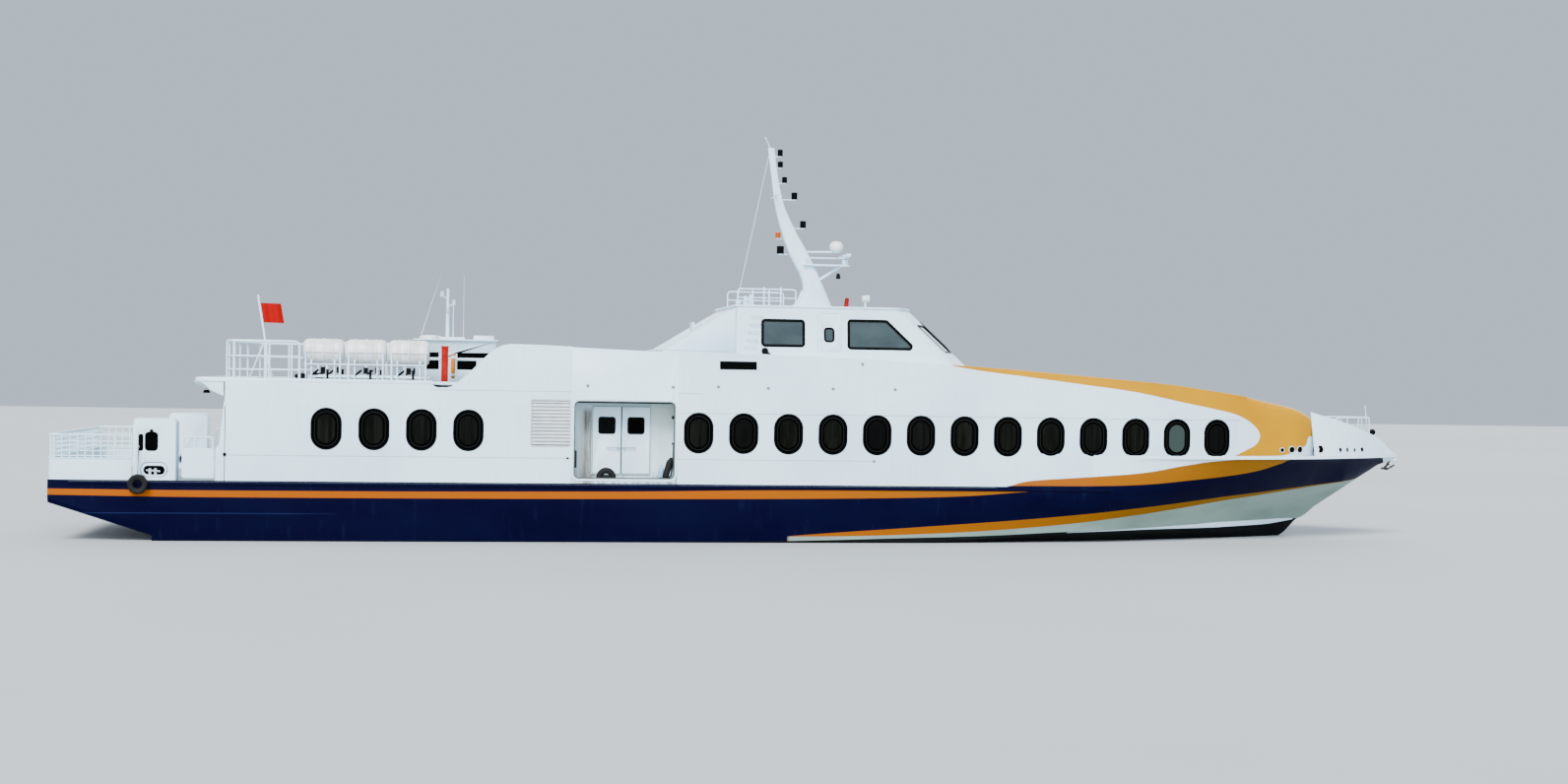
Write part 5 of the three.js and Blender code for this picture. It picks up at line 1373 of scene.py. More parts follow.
DOOR_FACE, JAMB_FACE = 2.716, 3.40
DOOR_LEAVES = (("aft", -4.9422, 0.19), ("forward", -4.1378, -0.19))  # part, middle, grip off it
RECESS_X = -4.5
for side, sign in SIDES:
    face, jamb, skin_face = (flat_side(y, sign) for y in (DOOR_FACE, JAMB_FACE, HALF_BEAM))
    for part, middle, grip in DOOR_LEAVES:
        body = nodes[f"side_door_{part}_{side}"]["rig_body"]
        light = rounded_rect(middle, 3.19, 0.43, 0.43, 0.05, 5)
        glass = pane(face, light, -0.004, 0.02)
        join_meshes(f"door_pane_{part}_{side}", [glass], glass_dark, body, sharp=30)
        ring = gasket_ring(face, light, -0.02, 0.025, 0.006, -0.03)
        join_meshes(f"door_gasket_{part}_{side}", [ring], gasket, body, "black_rubber")
        leaf_edge = rounded_rect(middle, 2.785, 0.806, 1.88, 0.02, 3)
        ring = gasket_ring(face, leaf_edge, -0.02, -0.003, 0.002, -0.008, 0.001)
        join_meshes(f"door_edge_seal_{part}_{side}", [ring], seal_grey, body, "black_rubber")
        bar = bent_bar(middle + grip, 2.58, 0.17, 2.72, 2.775, sign, 0.013)
        join_meshes(f"door_grab_{part}_{side}", [bar], alloy, body, "bare_alloy")
    mouth = rounded_rect(RECESS_X, 2.81, 2.78, 2.14, 0.15, 6)
    # Painted shade: a grey ring just inside the mouth and a black strip under its head stand for the shadow
    # under the recess's edge.
    seal = gasket_ring(skin_face, mouth, -0.04, -0.006, 0.003, -0.12)
    join_meshes(f"recess_mouth_painted_shade_{side}", [seal], seal_grey)
    header = pane(jamb, rounded_rect(RECESS_X, 3.845, 2.6, 0.065, 0.03, 4), 0.035, 0.06)
    join_meshes(f"recess_header_painted_shadow_{side}", [header], gasket, slot="black_rubber")
    bumper = pane(jamb, rounded_rect(-5.83, 2.28, 0.07, 0.48, 0.03, 4), 0.03, 0.06)
    join_meshes(f"jamb_bumper_{side}", [bumper], rubber, slot="black_rubber")
    white_piece(f"recess_rim_{side}", [gasket_ring(skin_face, mouth, -0.008, 0.05, 0.012, -0.02)])

# %% [markdown]
# Half a tyre is bolted to the recess floor as a step for boats alongside, and a heaving line
# hangs from a hook on the forward jamb with two fenders beside it. The line is a free rope: it
# drops from the hook and its tail lies on the floor.

# %% Step tyre, heaving line and small fender
RECESS_FLOOR = 1.741
arch = [
    (-4.985 - 0.19 * math.cos(a), -3.33, RECESS_FLOOR + 0.03 + 0.2 * math.sin(a))
    for a in spread(-0.15, math.pi + 0.15, math.pi / 32)
]
step_tyre = [
    tube(arch, 0.085, 20),
    rod((-5.1, -3.33, RECESS_FLOOR + 0.06), (-4.87, -3.33, RECESS_FLOOR + 0.06), 0.05),
]
join_meshes("step_tyre", step_tyre, rubber)
LINE_RADIUS = 0.026
line_top = Vector((-3.137, -3.27, 2.7))
line_path = rounded_path(
    [
        line_top, (-3.15, -3.27, 2.2), (-3.2, -3.275, 1.83), (-3.3, -3.285, RECESS_FLOOR + LINE_RADIUS),
        (-3.52, -3.3, RECESS_FLOOR + LINE_RADIUS),
    ],
    0.2, 8,
)
line_path = [Vector(point) for point in line_path]
heaving_line = join_meshes("heaving_line", [tube(line_path, LINE_RADIUS, 12)], rope_fibre)
hook = [
    rod((-3.115, -3.27, 2.72), (-3.19, -3.27, 2.72), 0.03),
    rod((-3.112, -3.25, 3.44), (-3.2, -3.25, 3.44), 0.045),
]
join_meshes("line_hook", hook, lamp_black)
fender_outline = [
    (0, 0), (0.035, 0.0), (0.04, 0.03), (0.07, 0.06), (0.075, 0.1), (0.075, 0.28), (0.06, 0.33),
    (0.03, 0.36), (0.03, 0.39), (0, 0.39),
]
black_fender = [
    (0, 0), (0.05, 0.0), (0.085, 0.04), (0.09, 0.09), (0.09, 0.44), (0.08, 0.5), (0.045, 0.54),
    (0.03, 0.6), (0, 0.6),
]
leaning = aimed((-3.37, -3.32, RECESS_FLOOR + 0.03), (-3.21, -3.3, 2.33))
new_piece("black_hull_fender", *moved(lathe(black_fender, 28), leaning), rubber, slot="black_rubber")
new_piece(
    "small_air_fender",
    *moved(lathe(fender_outline, 28), Matrix.Translation((-3.47, -3.22, RECESS_FLOOR))), fender_blue,
)

# %% [markdown]
# ## Lights of the doors and windows aft
# The saloon's aft wall and the doors have flat panes in rubber gaskets. A pane here is its outline
# with a little thickness, and the gasket a ring swept round the same outline, so the two always
# fit. Those of a door ride with its leaf.

# %% Aft windows and small lights
aft_face = lambda a, b, rise: (-15.1 - rise, -a, b)
aft_shapes = [rounded_rect(y, 3.0, 1.1, 0.8, 0.12, 5) for y in (-1.9, 1.9)]
glass = [pane(aft_face, outline, -0.01, 0.02) for outline in aft_shapes]
join_meshes("aft_wall_panes", glass, glass_dark, sharp=30)
frames = [gasket_ring(aft_face, outline, -0.02, 0.02, 0.006, -0.03) for outline in aft_shapes]
join_meshes("aft_wall_gaskets", frames, gasket, slot="black_rubber")
door_face = lambda a, b, rise: (-15.146 - rise, -a, b)
light = rounded_rect(0.0, 3.08, 0.42, 0.52, 0.08, 5)
body = nodes["saloon_aft_door"]["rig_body"]
join_meshes("aft_door_pane", [pane(door_face, light, -0.01, 0.02)], glass_dark, body, sharp=30)
frame = gasket_ring(door_face, light, -0.02, 0.02, 0.006, -0.03)
join_meshes("aft_door_gasket", [frame], gasket, body, "black_rubber")
door_light = side_outline([(1.16, 5.62), (1.42, 5.62), (1.42, 6.0), (1.16, 6.0)], 0.08)
for side, sign in SIDES:
    glass = pane(starboard_face, door_light, 0.0, 0.02)
    frame = gasket_ring(starboard_face, door_light, -0.03, 0.025, 0.014, -0.03)
    shapes = on_side(sign, [glass, frame])
    body = nodes[f"wheelhouse_door_{side}"]["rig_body"]
    join_meshes(f"wheelhouse_door_pane_{side}", shapes[:1], glass_grey, body, sharp=30)
    join_meshes(f"wheelhouse_door_gasket_{side}", shapes[1:], gasket, body, "black_rubber")

# %% [markdown]
# ## Rails of bent tube
# Marine rails are bent from round aluminium tube and painted white. A tube here is a ring carried
# along a path whose corners are rounded the way a bender leaves them.

# %% Upper deck rails and ensign staff
UPPER_DECK_Z = 4.33
UPPER_ROUTE = [
    (-13.2, -3.29), (-14.9, -3.29), (-15.17, -2.5), (-15.25, -1.25), (-15.25, 1.25), (-15.17, 2.5),
    (-14.9, 3.29), (-13.2, 3.29),
]
RAIL_HEIGHTS, RAIL_RADII = (4.58, 4.94, 5.34), (0.02, 0.022, 0.034)
rails = []
for height, radius in zip(RAIL_HEIGHTS, RAIL_RADII):
    route = [(x, y, height) for x, y in UPPER_ROUTE]
    if height > 5:
        route = [(-13.2, -3.29, UPPER_DECK_Z), *route, (-13.2, 3.29, UPPER_DECK_Z)]
    rails.append(tube(rounded_path(route, 0.16, 6), radius, 12))
posts = [(x, y) for x, y in UPPER_ROUTE[1:-1]] + [
    (-14.06, -3.29), (-14.06, 3.29), (-15.25, 0.0), (-13.98, -3.29), (-13.98, 3.29),
]
rails += [post(x, y, UPPER_DECK_Z - 0.005, RAIL_HEIGHTS[-1], 0.028) for x, y in posts]
rails += [post(x, y, UPPER_DECK_Z - 0.005, UPPER_DECK_Z + 0.012, 0.06) for x, y in posts]
white_piece("upper_deck_tube_rails", rails, replaces=("upper_deck_rail",))

STAFF_X = -14.427
STAFF_BEND, STAFF_TOP = Vector((STAFF_X, 0, 5.4)), Vector((-14.64, 0, 6.655))
staff = [tube(rounded_path([(STAFF_X, 0, UPPER_DECK_Z), STAFF_BEND, STAFF_TOP], 0.12), 0.032, 14)]
staff += [rod(STAFF_TOP - Vector((0, 0, 0.01)), STAFF_TOP + Vector((0, 0, 0.03)), 0.042, 0.02)]
staff += [
    rod((STAFF_X + dx, dy, UPPER_DECK_Z), (STAFF_X - 0.01, 0, z), 0.024)
    for dx, dy, z in ((-0.425, 0, 5.4), (0.195, -0.2, 5.34), (0.195, 0.2, 5.34))
]
white_piece("ensign_staff_tubes", staff, replaces=("ensign_staff",))

# %% [markdown]
# ## Overhang, hood and deck gear
# The upper deck runs on past the saloon's aft wall, and a curved soffit carries it. Cheeks close
# the soffit out to the deck's edge. Near-black panels inside the air hood's slots are painted shade.

# %% Overhang cheeks, painted shade in the hood slots, and deck gear
WALL_EDGE = wall_half(-12.0, UPPER_DECK_Z)
cheeks = []
for _, sign in SIDES:
    rings = []
    for share in (0.0, 0.5, 1.0):
        tip = -15.97 + 0.24 * share
        soffit = [
            (tip, 4.249), (tip + 0.01, 4.225), (tip + 0.1, 4.17), (-15.5, 4.035), (-15.3, 3.93),
            (-15.143, 3.87), (-15.143, 4.249),
        ]
        rings.append([(x, sign * (WALL_EDGE - 0.42 + 0.4 * share), z) for x, z in soffit])
    cheeks.append(skin(rings))
white_piece("overhang_cheeks", cheeks)
HOOD_TOP = 5.5003
slot_shades, humps = [], []
# Near-black panels inside the hood's slots are painted shade.
for _, sign in SIDES:
    for x0, x1, z0, z1 in (
        (-9.96, -9.56, 4.99, 5.13), (-9.06, -8.2, 4.99, 5.13), (-9.96, -9.56, 4.66, 4.91),
        (-9.06, -8.53, 4.66, 4.91),
    ):
        slot_shades.append(pane(flat_side(1.9, sign), box_outline(x0, x1, z0, z1, 0.01), -0.03, 0.05))
join_meshes("hood_slot_painted_shade", slot_shades, painted_shade)
hump_outline = [(0.0, 0.0), (1.0, 0.0), (1.0, 0.5), (0.93, 0.8), (0.75, 0.96), (0.5, 1.0), (0.0, 1.0)]
hump = lathe([(r * 0.27, h * 0.13) for r, h in hump_outline], 40)
for x, y in ((-9.86, -0.2), (-9.78, 0.8)):
    humps.append(moved(hump, Matrix.Translation((x, y, HOOD_TOP))))
join_meshes("hood_vent_caps", humps, raft_white)
for side, sign in SIDES:
    case = rounded_rect(-13.15, sign * 3.05, 0.26, 0.3, 0.05, 4)
    rings = [
        [(x - nx * inset, y - ny * inset, z) for x, y, nx, ny in case]
        for z, inset in ((4.3303, 0.0), (4.48, 0.0), (4.5, 0.02))
    ]
    drum = rod((-13.28, sign * 3.05, 4.42), (-13.34, sign * 3.05, 4.42), 0.05)
    join_meshes(f"deck_winch_case_{side}", [skin(rings), drum], lamp_black)

# %% [markdown]
# ## The ensign
# Red bunting is a light open weave of polyester that lets daylight through. It is bound to its
# rope at the hoist, and the wind rolls waves down the fly. The waves are worked out so that each
# thread keeps its length, which leaves the cloth the size it was cut to.

# %% Ensign cloth
def bunting():
    material, tree, shader = new_material("red_polyester_bunting", Roughness=0.85, Specular_IOR_Level=0.1)
    where = place(tree)[0]
    # A real thread is 0.3 mm. It is drawn at 6 mm, the finest that the picture can hold.
    weave = noise(tree, stretch(tree, where, (1.0, 1.0, 8.0)), 160.0, 1.0)
    red = mix(tree, ramp(tree, weave, 0.4, 0.6), linear("#A80407"), linear("#8A0306"))
    tree.links.new(red, shader.inputs["Base Color"])
    glow = add(tree, "ShaderNodeBsdfTranslucent", {"Color": linear("#B00608")})
    blend = add(tree, "ShaderNodeMixShader", {0: 0.25, 1: shader.outputs[0], 2: glow.outputs[0]})
    tree.links.new(blend.outputs[0], tree.nodes["Material Output"].inputs["Surface"])
    return material


FLY_LENGTH, HOIST = 0.6, 0.56
steps, rows = 30, 14
up_staff = (STAFF_TOP - STAFF_BEND).normalized()
corner = STAFF_BEND + up_staff * 0.51 + Vector((0.034, 0, 0))
columns = []
along, off = 0.0, 0.0
for i in range(steps + 1):
    columns.append((along, off))
    share = i / steps
    slope = 0.55 * math.sin(share * 9.0) * min(1.0, share * 4)
    along += FLY_LENGTH / steps * math.sqrt(1 - slope * slope)
    off += FLY_LENGTH / steps * slope
cloth_points = [
    tuple(corner + Vector((a, o, -0.02 * a)) + up_staff * HOIST * k / rows)
    for k in range(rows + 1)
    for a, o in columns
]
threads = steps + 1
cloth_faces = [
    (k * threads + i, k * threads + i + 1, (k + 1) * threads + i + 1, (k + 1) * threads + i)
    for k in range(rows)
    for i in range(steps)
]
ensign = new_piece(
    "red_ensign", cloth_points, cloth_faces, bunting(), slot="ensign_cloth", sharp=None,
    replaces=("ensign",),
)

# %% [markdown]
# ## Stern bulwark and its rail
# A low plate bulwark goes round the stern. On it stands a rail of close bars, which keeps loose
# gear aboard.

# %% Stern rail
SIDE_Y, END_X = 3.41, -19.53
STERN_ROUTE = [
    (-17.46, -SIDE_Y), (END_X + 0.11, -SIDE_Y), (END_X, -SIDE_Y + 0.08), (END_X, SIDE_Y - 0.08),
    (END_X + 0.11, SIDE_Y), (-17.46, SIDE_Y),
]
STERN_RAIL_Z, BULWARK_TOP = 2.8, 2.19


def route_points(step):
    found = []
    for (ax, ay), (bx, by) in zip(STERN_ROUTE, STERN_ROUTE[1:]):
        count = max(1, round(math.hypot(bx - ax, by - ay) / step))
        found += [(ax + (bx - ax) * i / count, ay + (by - ay) * i / count) for i in range(count)]
    return [*found, STERN_ROUTE[-1]]


fine_route = route_points(0.25)
stern = [tube([(x, y, STERN_RAIL_Z) for x, y in fine_route], 0.026, 10)]
stern += [tube([(x, y, z) for x, y in fine_route], 0.014, 8) for z in (2.25, 2.38, 2.51, 2.63)]
bars = [spot for spot in route_points(0.19) if spot[0] < -17.95]
stern += [post(x, y, BULWARK_TOP, STERN_RAIL_Z, 0.017, sides=10) for x, y in bars]
end_posts = [(x, y) for x in (-17.46, -17.9) for y in (-SIDE_Y, SIDE_Y)]
stern += [post(x, y, BULWARK_TOP, STERN_RAIL_Z, 0.024, sides=12) for x, y in end_posts]
white_piece("stern_tube_rail", stern, replaces=("stern_bulwark_rail",))
BULWARK_PROFILE = [
    (0.025, DECK_FOOT), (0.025, 2.16), (0.04, 2.18), (0.04, 2.2), (-0.035, 2.2), (-0.035, 2.18),
    (-0.02, 2.16), (-0.02, DECK_FOOT),
]
rings = []
for x, y in route_points(0.3):
    sign = -1 if y < 0 else 1
    way = Vector((-1, 0)) if x < END_X + 0.05 else Vector((0, sign))
    if abs(abs(y) - (SIDE_Y - 0.04)) < 0.06 and x < END_X + 0.12:
        way = Vector((-1, sign)).normalized()
    spot = Vector((x, y))
    rings.append([(spot.x + way.x * o, spot.y + way.y * o, z) for o, z in BULWARK_PROFILE])
white_piece("stern_bulwark_plate", [skin(rings)], sharp=30)

# %% [markdown]
# ## Boarding gates, lockers and the tyre
# A gate closes the rail beside the locker, with a guard of bent tube over its panel. The tyre
# fender hangs from the locker on a rope that its weight keeps taut.

# %% Gates and lockers
GATE_X0, GATE_X1, GATE_Y = -16.2, -15.34, 3.405
GUARD_LOW, GUARD_HIGH = 2.43, 2.77
LOCKER_FACE, BITT_Y = 3.438, 3.36
PORT_X = -16.885
for side, sign in SIDES:
    width = GATE_X1 - GATE_X0 - 0.024
    panel = rounded_rect((GATE_X0 + GATE_X1) / 2, 2.075, width, 0.79, 0.07, 6)
    x0, x1, y = GATE_X0 + 0.05, GATE_X1 - 0.06, sign * GATE_Y
    bends = [(x0, y, GUARD_LOW), (x0, y, GUARD_HIGH), (x1, y, GUARD_HIGH), (x1, y, GUARD_LOW)]
    shapes = [
        pane(flat_side(GATE_Y, sign), panel, 0.015, 0.03, 0.005),
        tube(rounded_path(bends, 0.1, 6), 0.024, 12), post(x0 + 0.3, y, GUARD_LOW, GUARD_HIGH, 0.022),
    ]
    shapes += [post(x1 + 0.03, sign * (GATE_Y + 0.02), z, z + 0.09, 0.02) for z in (1.8, 2.25)]
    body = nodes[f"boarding_gate_{side}"]["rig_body"]
    white_piece(f"boarding_gate_leaf_{side}", shapes, body, replaces=(f"boarding_gate_{side}",))
    face = flat_side(LOCKER_FACE, sign)
    port = rounded_rect(PORT_X, 1.88, 0.56, 0.25, 0.12, 8)
    slot_outline = rounded_rect(-17.23, 2.61, 0.1, 0.42, 0.04, 4)
    light_outline = rounded_rect(-16.96, 2.64, 0.31, 0.48, 0.09, 6)
    ring = gasket_ring(face, port, -0.005, 0.045, 0.02, -0.03, 0.01)
    white_piece(f"locker_port_ring_{side}", [ring])
    outer_line = rounded_rect(PORT_X, 1.9, 0.67, 0.37, 0.17, 8)
    seal = gasket_ring(face, outer_line, -0.004, 0.012, 0.006, -0.01, 0.002)
    join_meshes(f"locker_port_seal_{side}", [seal], gasket, slot="black_rubber")
    bitts = [post(x, sign * BITT_Y, 1.7601, 1.93, 0.035) for x in (-17.0, -16.86)]
    bitts.append(rod((-17.1, sign * BITT_Y, 1.88), (-16.74, sign * BITT_Y, 1.85), 0.022))
    join_meshes(f"locker_port_bitts_{side}", bitts, louvre_grey)
    # Near-black panels behind the locker's slot, light and port are painted shade for its dark inside.
    backs = ((slot_outline, -0.03), (light_outline, -0.03), (port, -0.12))
    panels = [pane(face, outline, level, 0.02) for outline, level in backs]
    join_meshes(f"locker_painted_shade_panels_{side}", panels, painted_shade)
    frames = [
        gasket_ring(face, outline, -0.01, 0.014, 0.005, -0.04)
        for outline in (slot_outline, light_outline)
    ]
    join_meshes(f"locker_gaskets_{side}", frames, gasket, slot="black_rubber")
    lamp = rod((-16.96, sign * 3.44, 2.92), (-16.96, sign * 3.5, 2.9), 0.05, 0.035)
    join_meshes(f"locker_lamp_{side}", [lamp], lamp_black)

# %% Tyre fender and its rope
TYRE = Vector((-17.28, -3.571, 1.52))
BEAD_RADIUS, TREAD_RADIUS = 0.187, 0.24
tyre_profile = []
for i in range(28):
    angle = math.tau * i / 28
    radial, width = math.cos(angle), math.sin(angle)
    # A tyre's section is squarer at the tread than at the bead.
    bulge = 1.0 if radial > 0 else 0.82
    out = BEAD_RADIUS + 0.076 * math.copysign(abs(radial) ** 0.7, radial)
    tyre_profile.append((out, 0.074 * math.copysign(abs(width) ** 0.75, width) * bulge))
tread = []
sides = 72
for k in range(sides + 1):
    turn = math.tau * k / sides
    groove = 0.004 if k % 3 == 0 else 0.0
    ring = [(r - groove if r > TREAD_RADIUS else r, w) for r, w in tyre_profile]
    across, up = math.cos(turn), math.sin(turn)
    tread.append([(TYRE.x + r * across, TYRE.y + w, TYRE.z + r * up) for r, w in ring])
join_meshes(
    "tyre_fender_tread", [skin(tread, caps=False)], rubber, slot="black_rubber",
    replaces=("tyre_fender",),
)
hang_from, hang_to = Vector((-17.28, -3.462, 2.5)), Vector((-17.28, -3.571, 1.785))
rope_path = [hang_from + (hang_to - hang_from) * i / 8 for i in range(9)]
rope = join_meshes("tyre_rope", [tube(rope_path, 0.011, 10)], rope_fibre)
eye = rod(hang_from + Vector((0, 0.03, 0)), hang_from + Vector((0, -0.012, 0)), 0.022)
join_meshes("tyre_rope_eye", [eye], alloy, slot="bare_alloy")

# %% [markdown]
# ## Liferafts
# Each raft is packed in a glass-fibre canister of two half shells with a flange between, held in
# a cradle by webbing straps. Gelcoat is glossier than paint and yellows slightly, and the half
# shells carry moulded ribs so that the canister keeps its shape.

# %% Raft canisters and cradles
RAFT_FIRST, RAFT_PITCH, RAFT_Y, RAFT_Z = -12.6, 1.13, 2.83, 5.085
RAFT_RADIUS, RAFT_LENGTH = 0.345, 1.09
STRAP_RADIUS, STRAP_HALF_WIDTH, STRAP_GROWTH = 0.352, 0.025, 1.014
GUARD_Y = 3.17
profile_rows = [
    (0.0, -0.5), (0.6, -0.497), (0.8, -0.48), (0.93, -0.44), (1.0, -0.38), (1.0, -0.27), (0.965, -0.255),
    (0.965, -0.215), (1.0, -0.2), (1.0, -0.035), (1.05, -0.025), (1.05, 0.025), (1.0, 0.035), (1.0, 0.2),
    (0.965, 0.215), (0.965, 0.255), (1.0, 0.27), (1.0, 0.38), (0.93, 0.44), (0.8, 0.48), (0.6, 0.497),
    (0.0, 0.5),
]
along_x = Matrix.Rotation(math.radians(90), 4, "Y")
for side, sign in SIDES:
    straps, releases = [], []
    for i in range(3):
        x, y = RAFT_FIRST + RAFT_PITCH * i, sign * RAFT_Y
        shape = moved(
            lathe([(r * RAFT_RADIUS, l * RAFT_LENGTH) for r, l in profile_rows], 48),
            Matrix.Translation((x, y, RAFT_Z)) @ along_x,
        )
        # The seam flange of the two half shells runs lengthwise at mid height.
        seam = [
            block(x - 0.5, x + 0.5, y + s * 0.335, y + s * 0.372, RAFT_Z - 0.012, RAFT_Z + 0.012)
            for s in (-1, 1)
        ]
        join_meshes(
            f"raft_canister_{side}_{i + 1}", [shape, *seam], raft_white, slot="raft_shell", sharp=40,
            replaces=(f"liferaft_{side}_{i + 1}",),
        )
        for dx in (-0.255, 0.255):
            near, far = x + dx - STRAP_HALF_WIDTH, x + dx + STRAP_HALF_WIDTH
            band = []
            for turn in spread(math.radians(-40), math.radians(220), math.radians(8)):
                py = y + STRAP_RADIUS * math.cos(turn)
                pz = RAFT_Z + STRAP_RADIUS * math.sin(turn)
                oy, oz = y + (py - y) * STRAP_GROWTH, RAFT_Z + (pz - RAFT_Z) * STRAP_GROWTH
                band.append([(near, py, pz), (far, py, pz), (far, oy, oz), (near, oy, oz)])
            straps.append(skin(band))
        releases.append(block(x - 0.06, x + 0.06, y + sign * 0.24, y + sign * 0.31, 4.5, 4.68))
        releases.append(post(x + 0.12, y + sign * 0.27, 4.36, 4.62, 0.035))
        releases.append(rod((x - 0.3, y + sign * 0.2, 4.45), (x - 0.12, y + sign * 0.26, 4.6), 0.03))
    join_meshes(f"raft_straps_{side}", straps, strap_cream)
    join_meshes(f"raft_releases_{side}", releases, lamp_black)
    legs = [
        post(RAFT_FIRST + RAFT_PITCH * i + dx, sign * GUARD_Y, UPPER_DECK_Z, 5.1, 0.026)
        for i in range(3)
        for dx in (-0.45, 0.45)
    ]
    legs.append(rod((-13.1, sign * GUARD_Y, 4.75), (-9.9, sign * GUARD_Y, 4.75), 0.02))
    white_piece(f"raft_guard_{side}", legs)

# %% [markdown]
# ## Lifebuoys
# A lifebuoy is a ring moulded in one skin round foam, with four reflective bands glued on. A ring
# carried round a closed path makes the body, and short lengths of a slightly fatter one the bands.

# %% Lifebuoys with bands
BUOY_RADIUS = 0.29
BAND_MIDDLES = (0.785, 2.356, 3.927, 5.498)


def hoop(centre, angles, thick, closed=False):
    """A round bar through angles on a lifebuoy's circle."""
    round_it = [(BUOY_RADIUS * math.cos(a), BUOY_RADIUS * math.sin(a)) for a in angles]
    path = [centre + Vector((0, y, z)) for y, z in round_it]
    return tube(path, thick, 20, closed=closed)


for side, sign in SIDES:
    centre = Vector((-9.16, sign * 2.75, 4.76))
    ring = hoop(centre, spread(0, math.tau, math.tau / 64)[:-1], 0.055, closed=True)
    node = f"lifebuoy_{side}"
    join_meshes(
        f"lifebuoy_ring_{side}", [ring], orange_foam, slot="orange_cover", replaces=(node,),
    )
    bands = [
        hoop(centre, [middle + a for a in spread(-0.14, 0.14, 0.05)], 0.0575) for middle in BAND_MIDDLES
    ]
    join_meshes(f"lifebuoy_bands_{side}", bands, lens_clear)

# %% [markdown]
# ## Masts, lamps and radar
# The mast is a welded box that tapers and leans back, with lamps on short arms up its fore edge.
# The radar turns on a platform, and the dome beside it shelters a fixed aerial.

# %% Main mast
MAST_ROWS = [
    (6.6203, 0.64, 1.82, 0.23), (7.21, 0.93, 1.56, 0.19), (8.33, 0.45, 1.01, 0.13),
    (8.82, 0.27, 0.72, 0.105), (9.73, 0.04, 0.30, 0.07), (10.45, -0.06, 0.14, 0.05),
    (11.31, -0.175, 0.01, 0.032),
]
MAST_AFT, MAST_FORE, MAST_HALF = (batten(MAST_ROWS, column) for column in (1, 2, 3))


def mast_ring(z):
    aft, fore, half = MAST_AFT(z), MAST_FORE(z), MAST_HALF(z)
    middle, reach = (aft + fore) / 2, (fore - aft) / 2
    ring = []
    for i in range(28):
        c, s = math.cos(math.tau * i / 28), math.sin(math.tau * i / 28)
        x = middle + reach * math.copysign(abs(c) ** 0.75, c)
        ring.append((x, half * math.copysign(abs(s) ** 0.55, s), z))
    return ring


PLATFORM_Z, PLATFORM_RAIL_Z = 7.93, 8.12
platform = ((0.9, -0.26), (2.28, -0.18), (2.28, 0.18), (0.9, 0.26))
guard = [
    (0.98, -0.23, PLATFORM_Z), (0.98, -0.23, PLATFORM_RAIL_Z), (2.26, -0.17, PLATFORM_RAIL_Z),
    (2.26, 0.17, PLATFORM_RAIL_Z), (0.98, 0.23, PLATFORM_RAIL_Z), (0.98, 0.23, PLATFORM_Z),
]
shapes = [
    skin([mast_ring(z) for z in spread(MAST_ROWS[0][0], MAST_ROWS[-1][0], 0.12)]),
    skin([[(x, y, z) for x, y in platform] for z in (PLATFORM_Z - 0.04, PLATFORM_Z)]),
    tube(rounded_path(guard, 0.04), 0.012, 8),
    rod((1.15, 0, 7.3), (2.05, 0, 7.9), 0.04),
    post(2.18, 0, 7.92, 8.085, 0.09, sides=24),
    rod((-0.12, 0, 11.2), (-1.05, 0, 6.626), 0.008, sides=8),
    rod((0.7, 0, 8.28), (1.91, 0, 8.31), 0.03),
    post(1.91, 0, 8.29, 8.34, 0.12, sides=24),
    rod((-0.09, 0, 11.25), (-0.26, 0, 11.63), 0.014),
    rod((0.06, -0.75, 9.9), (0.06, 0.75, 9.9), 0.022),
]
gusset = [
    (0.34, 6.6205), (0.52, 6.65), (0.68, 6.75), (0.8, 6.92), (0.88, 7.15), (0.96, 7.15), (0.96, 6.6205),
]
shapes.append(slab(gusset, -0.03, 0.03))
MAST_LAMPS = [  # x, z, radius, height
    (0.19, 11.17, 0.065, 0.19), (0.2, 10.83, 0.065, 0.17), (0.33, 10.38, 0.065, 0.17),
    (0.63, 9.92, 0.075, 0.2), (0.9, 9.09, 0.075, 0.2), (0.16, 8.76, 0.065, 0.17),
    (0.24, 8.33, 0.09, 0.22),
]
AMBER_Z = 8.76
LAMP_CASE = [
    (0, -0.5), (1.1, -0.5), (1.2, -0.42), (1.2, 0.34), (1.3, 0.4), (1.2, 0.48), (0.8, 0.55), (0, 0.55),
]
lamps, ambers = [], []
for x, z, radius, height in MAST_LAMPS:
    case = lathe([(r * radius, h * height) for r, h in LAMP_CASE], 24)
    (ambers if z == AMBER_Z else lamps).append(moved(case, Matrix.Translation((x, 0, z))))
    foot = z - height / 2
    edge = MAST_FORE(z) if x > MAST_FORE(z) else MAST_AFT(z)
    shapes.append(rod((x, 0, foot - 0.015), (edge, 0, foot - 0.02), 0.016))
    shapes.append(post(x, 0, foot - 0.03, foot, radius * 0.9))
lamps.append(post(1.98, 0.0, 7.52, 7.68, 0.07, 0.05))
white_piece("mast_pylon", shapes, replaces=("mast",))
join_meshes("mast_lamps", lamps, lamp_black)
join_meshes("mast_lamp_amber", ambers, lamp_amber)
dome = [
    (0.0, 0.0), (0.16, 0.0), (0.17, 0.02), (0.17, 0.035), (0.195, 0.06), (0.2, 0.1), (0.2, 0.15),
    (0.185, 0.2), (0.15, 0.245), (0.1, 0.272), (0.05, 0.286), (0.0, 0.29),
]
new_piece(
    "radar_dome_shell", *moved(lathe(dome, 48), Matrix.Translation((1.91, 0, 8.3403))), raft_white,
    slot="white_paint", replaces=("radar_dome",),
)

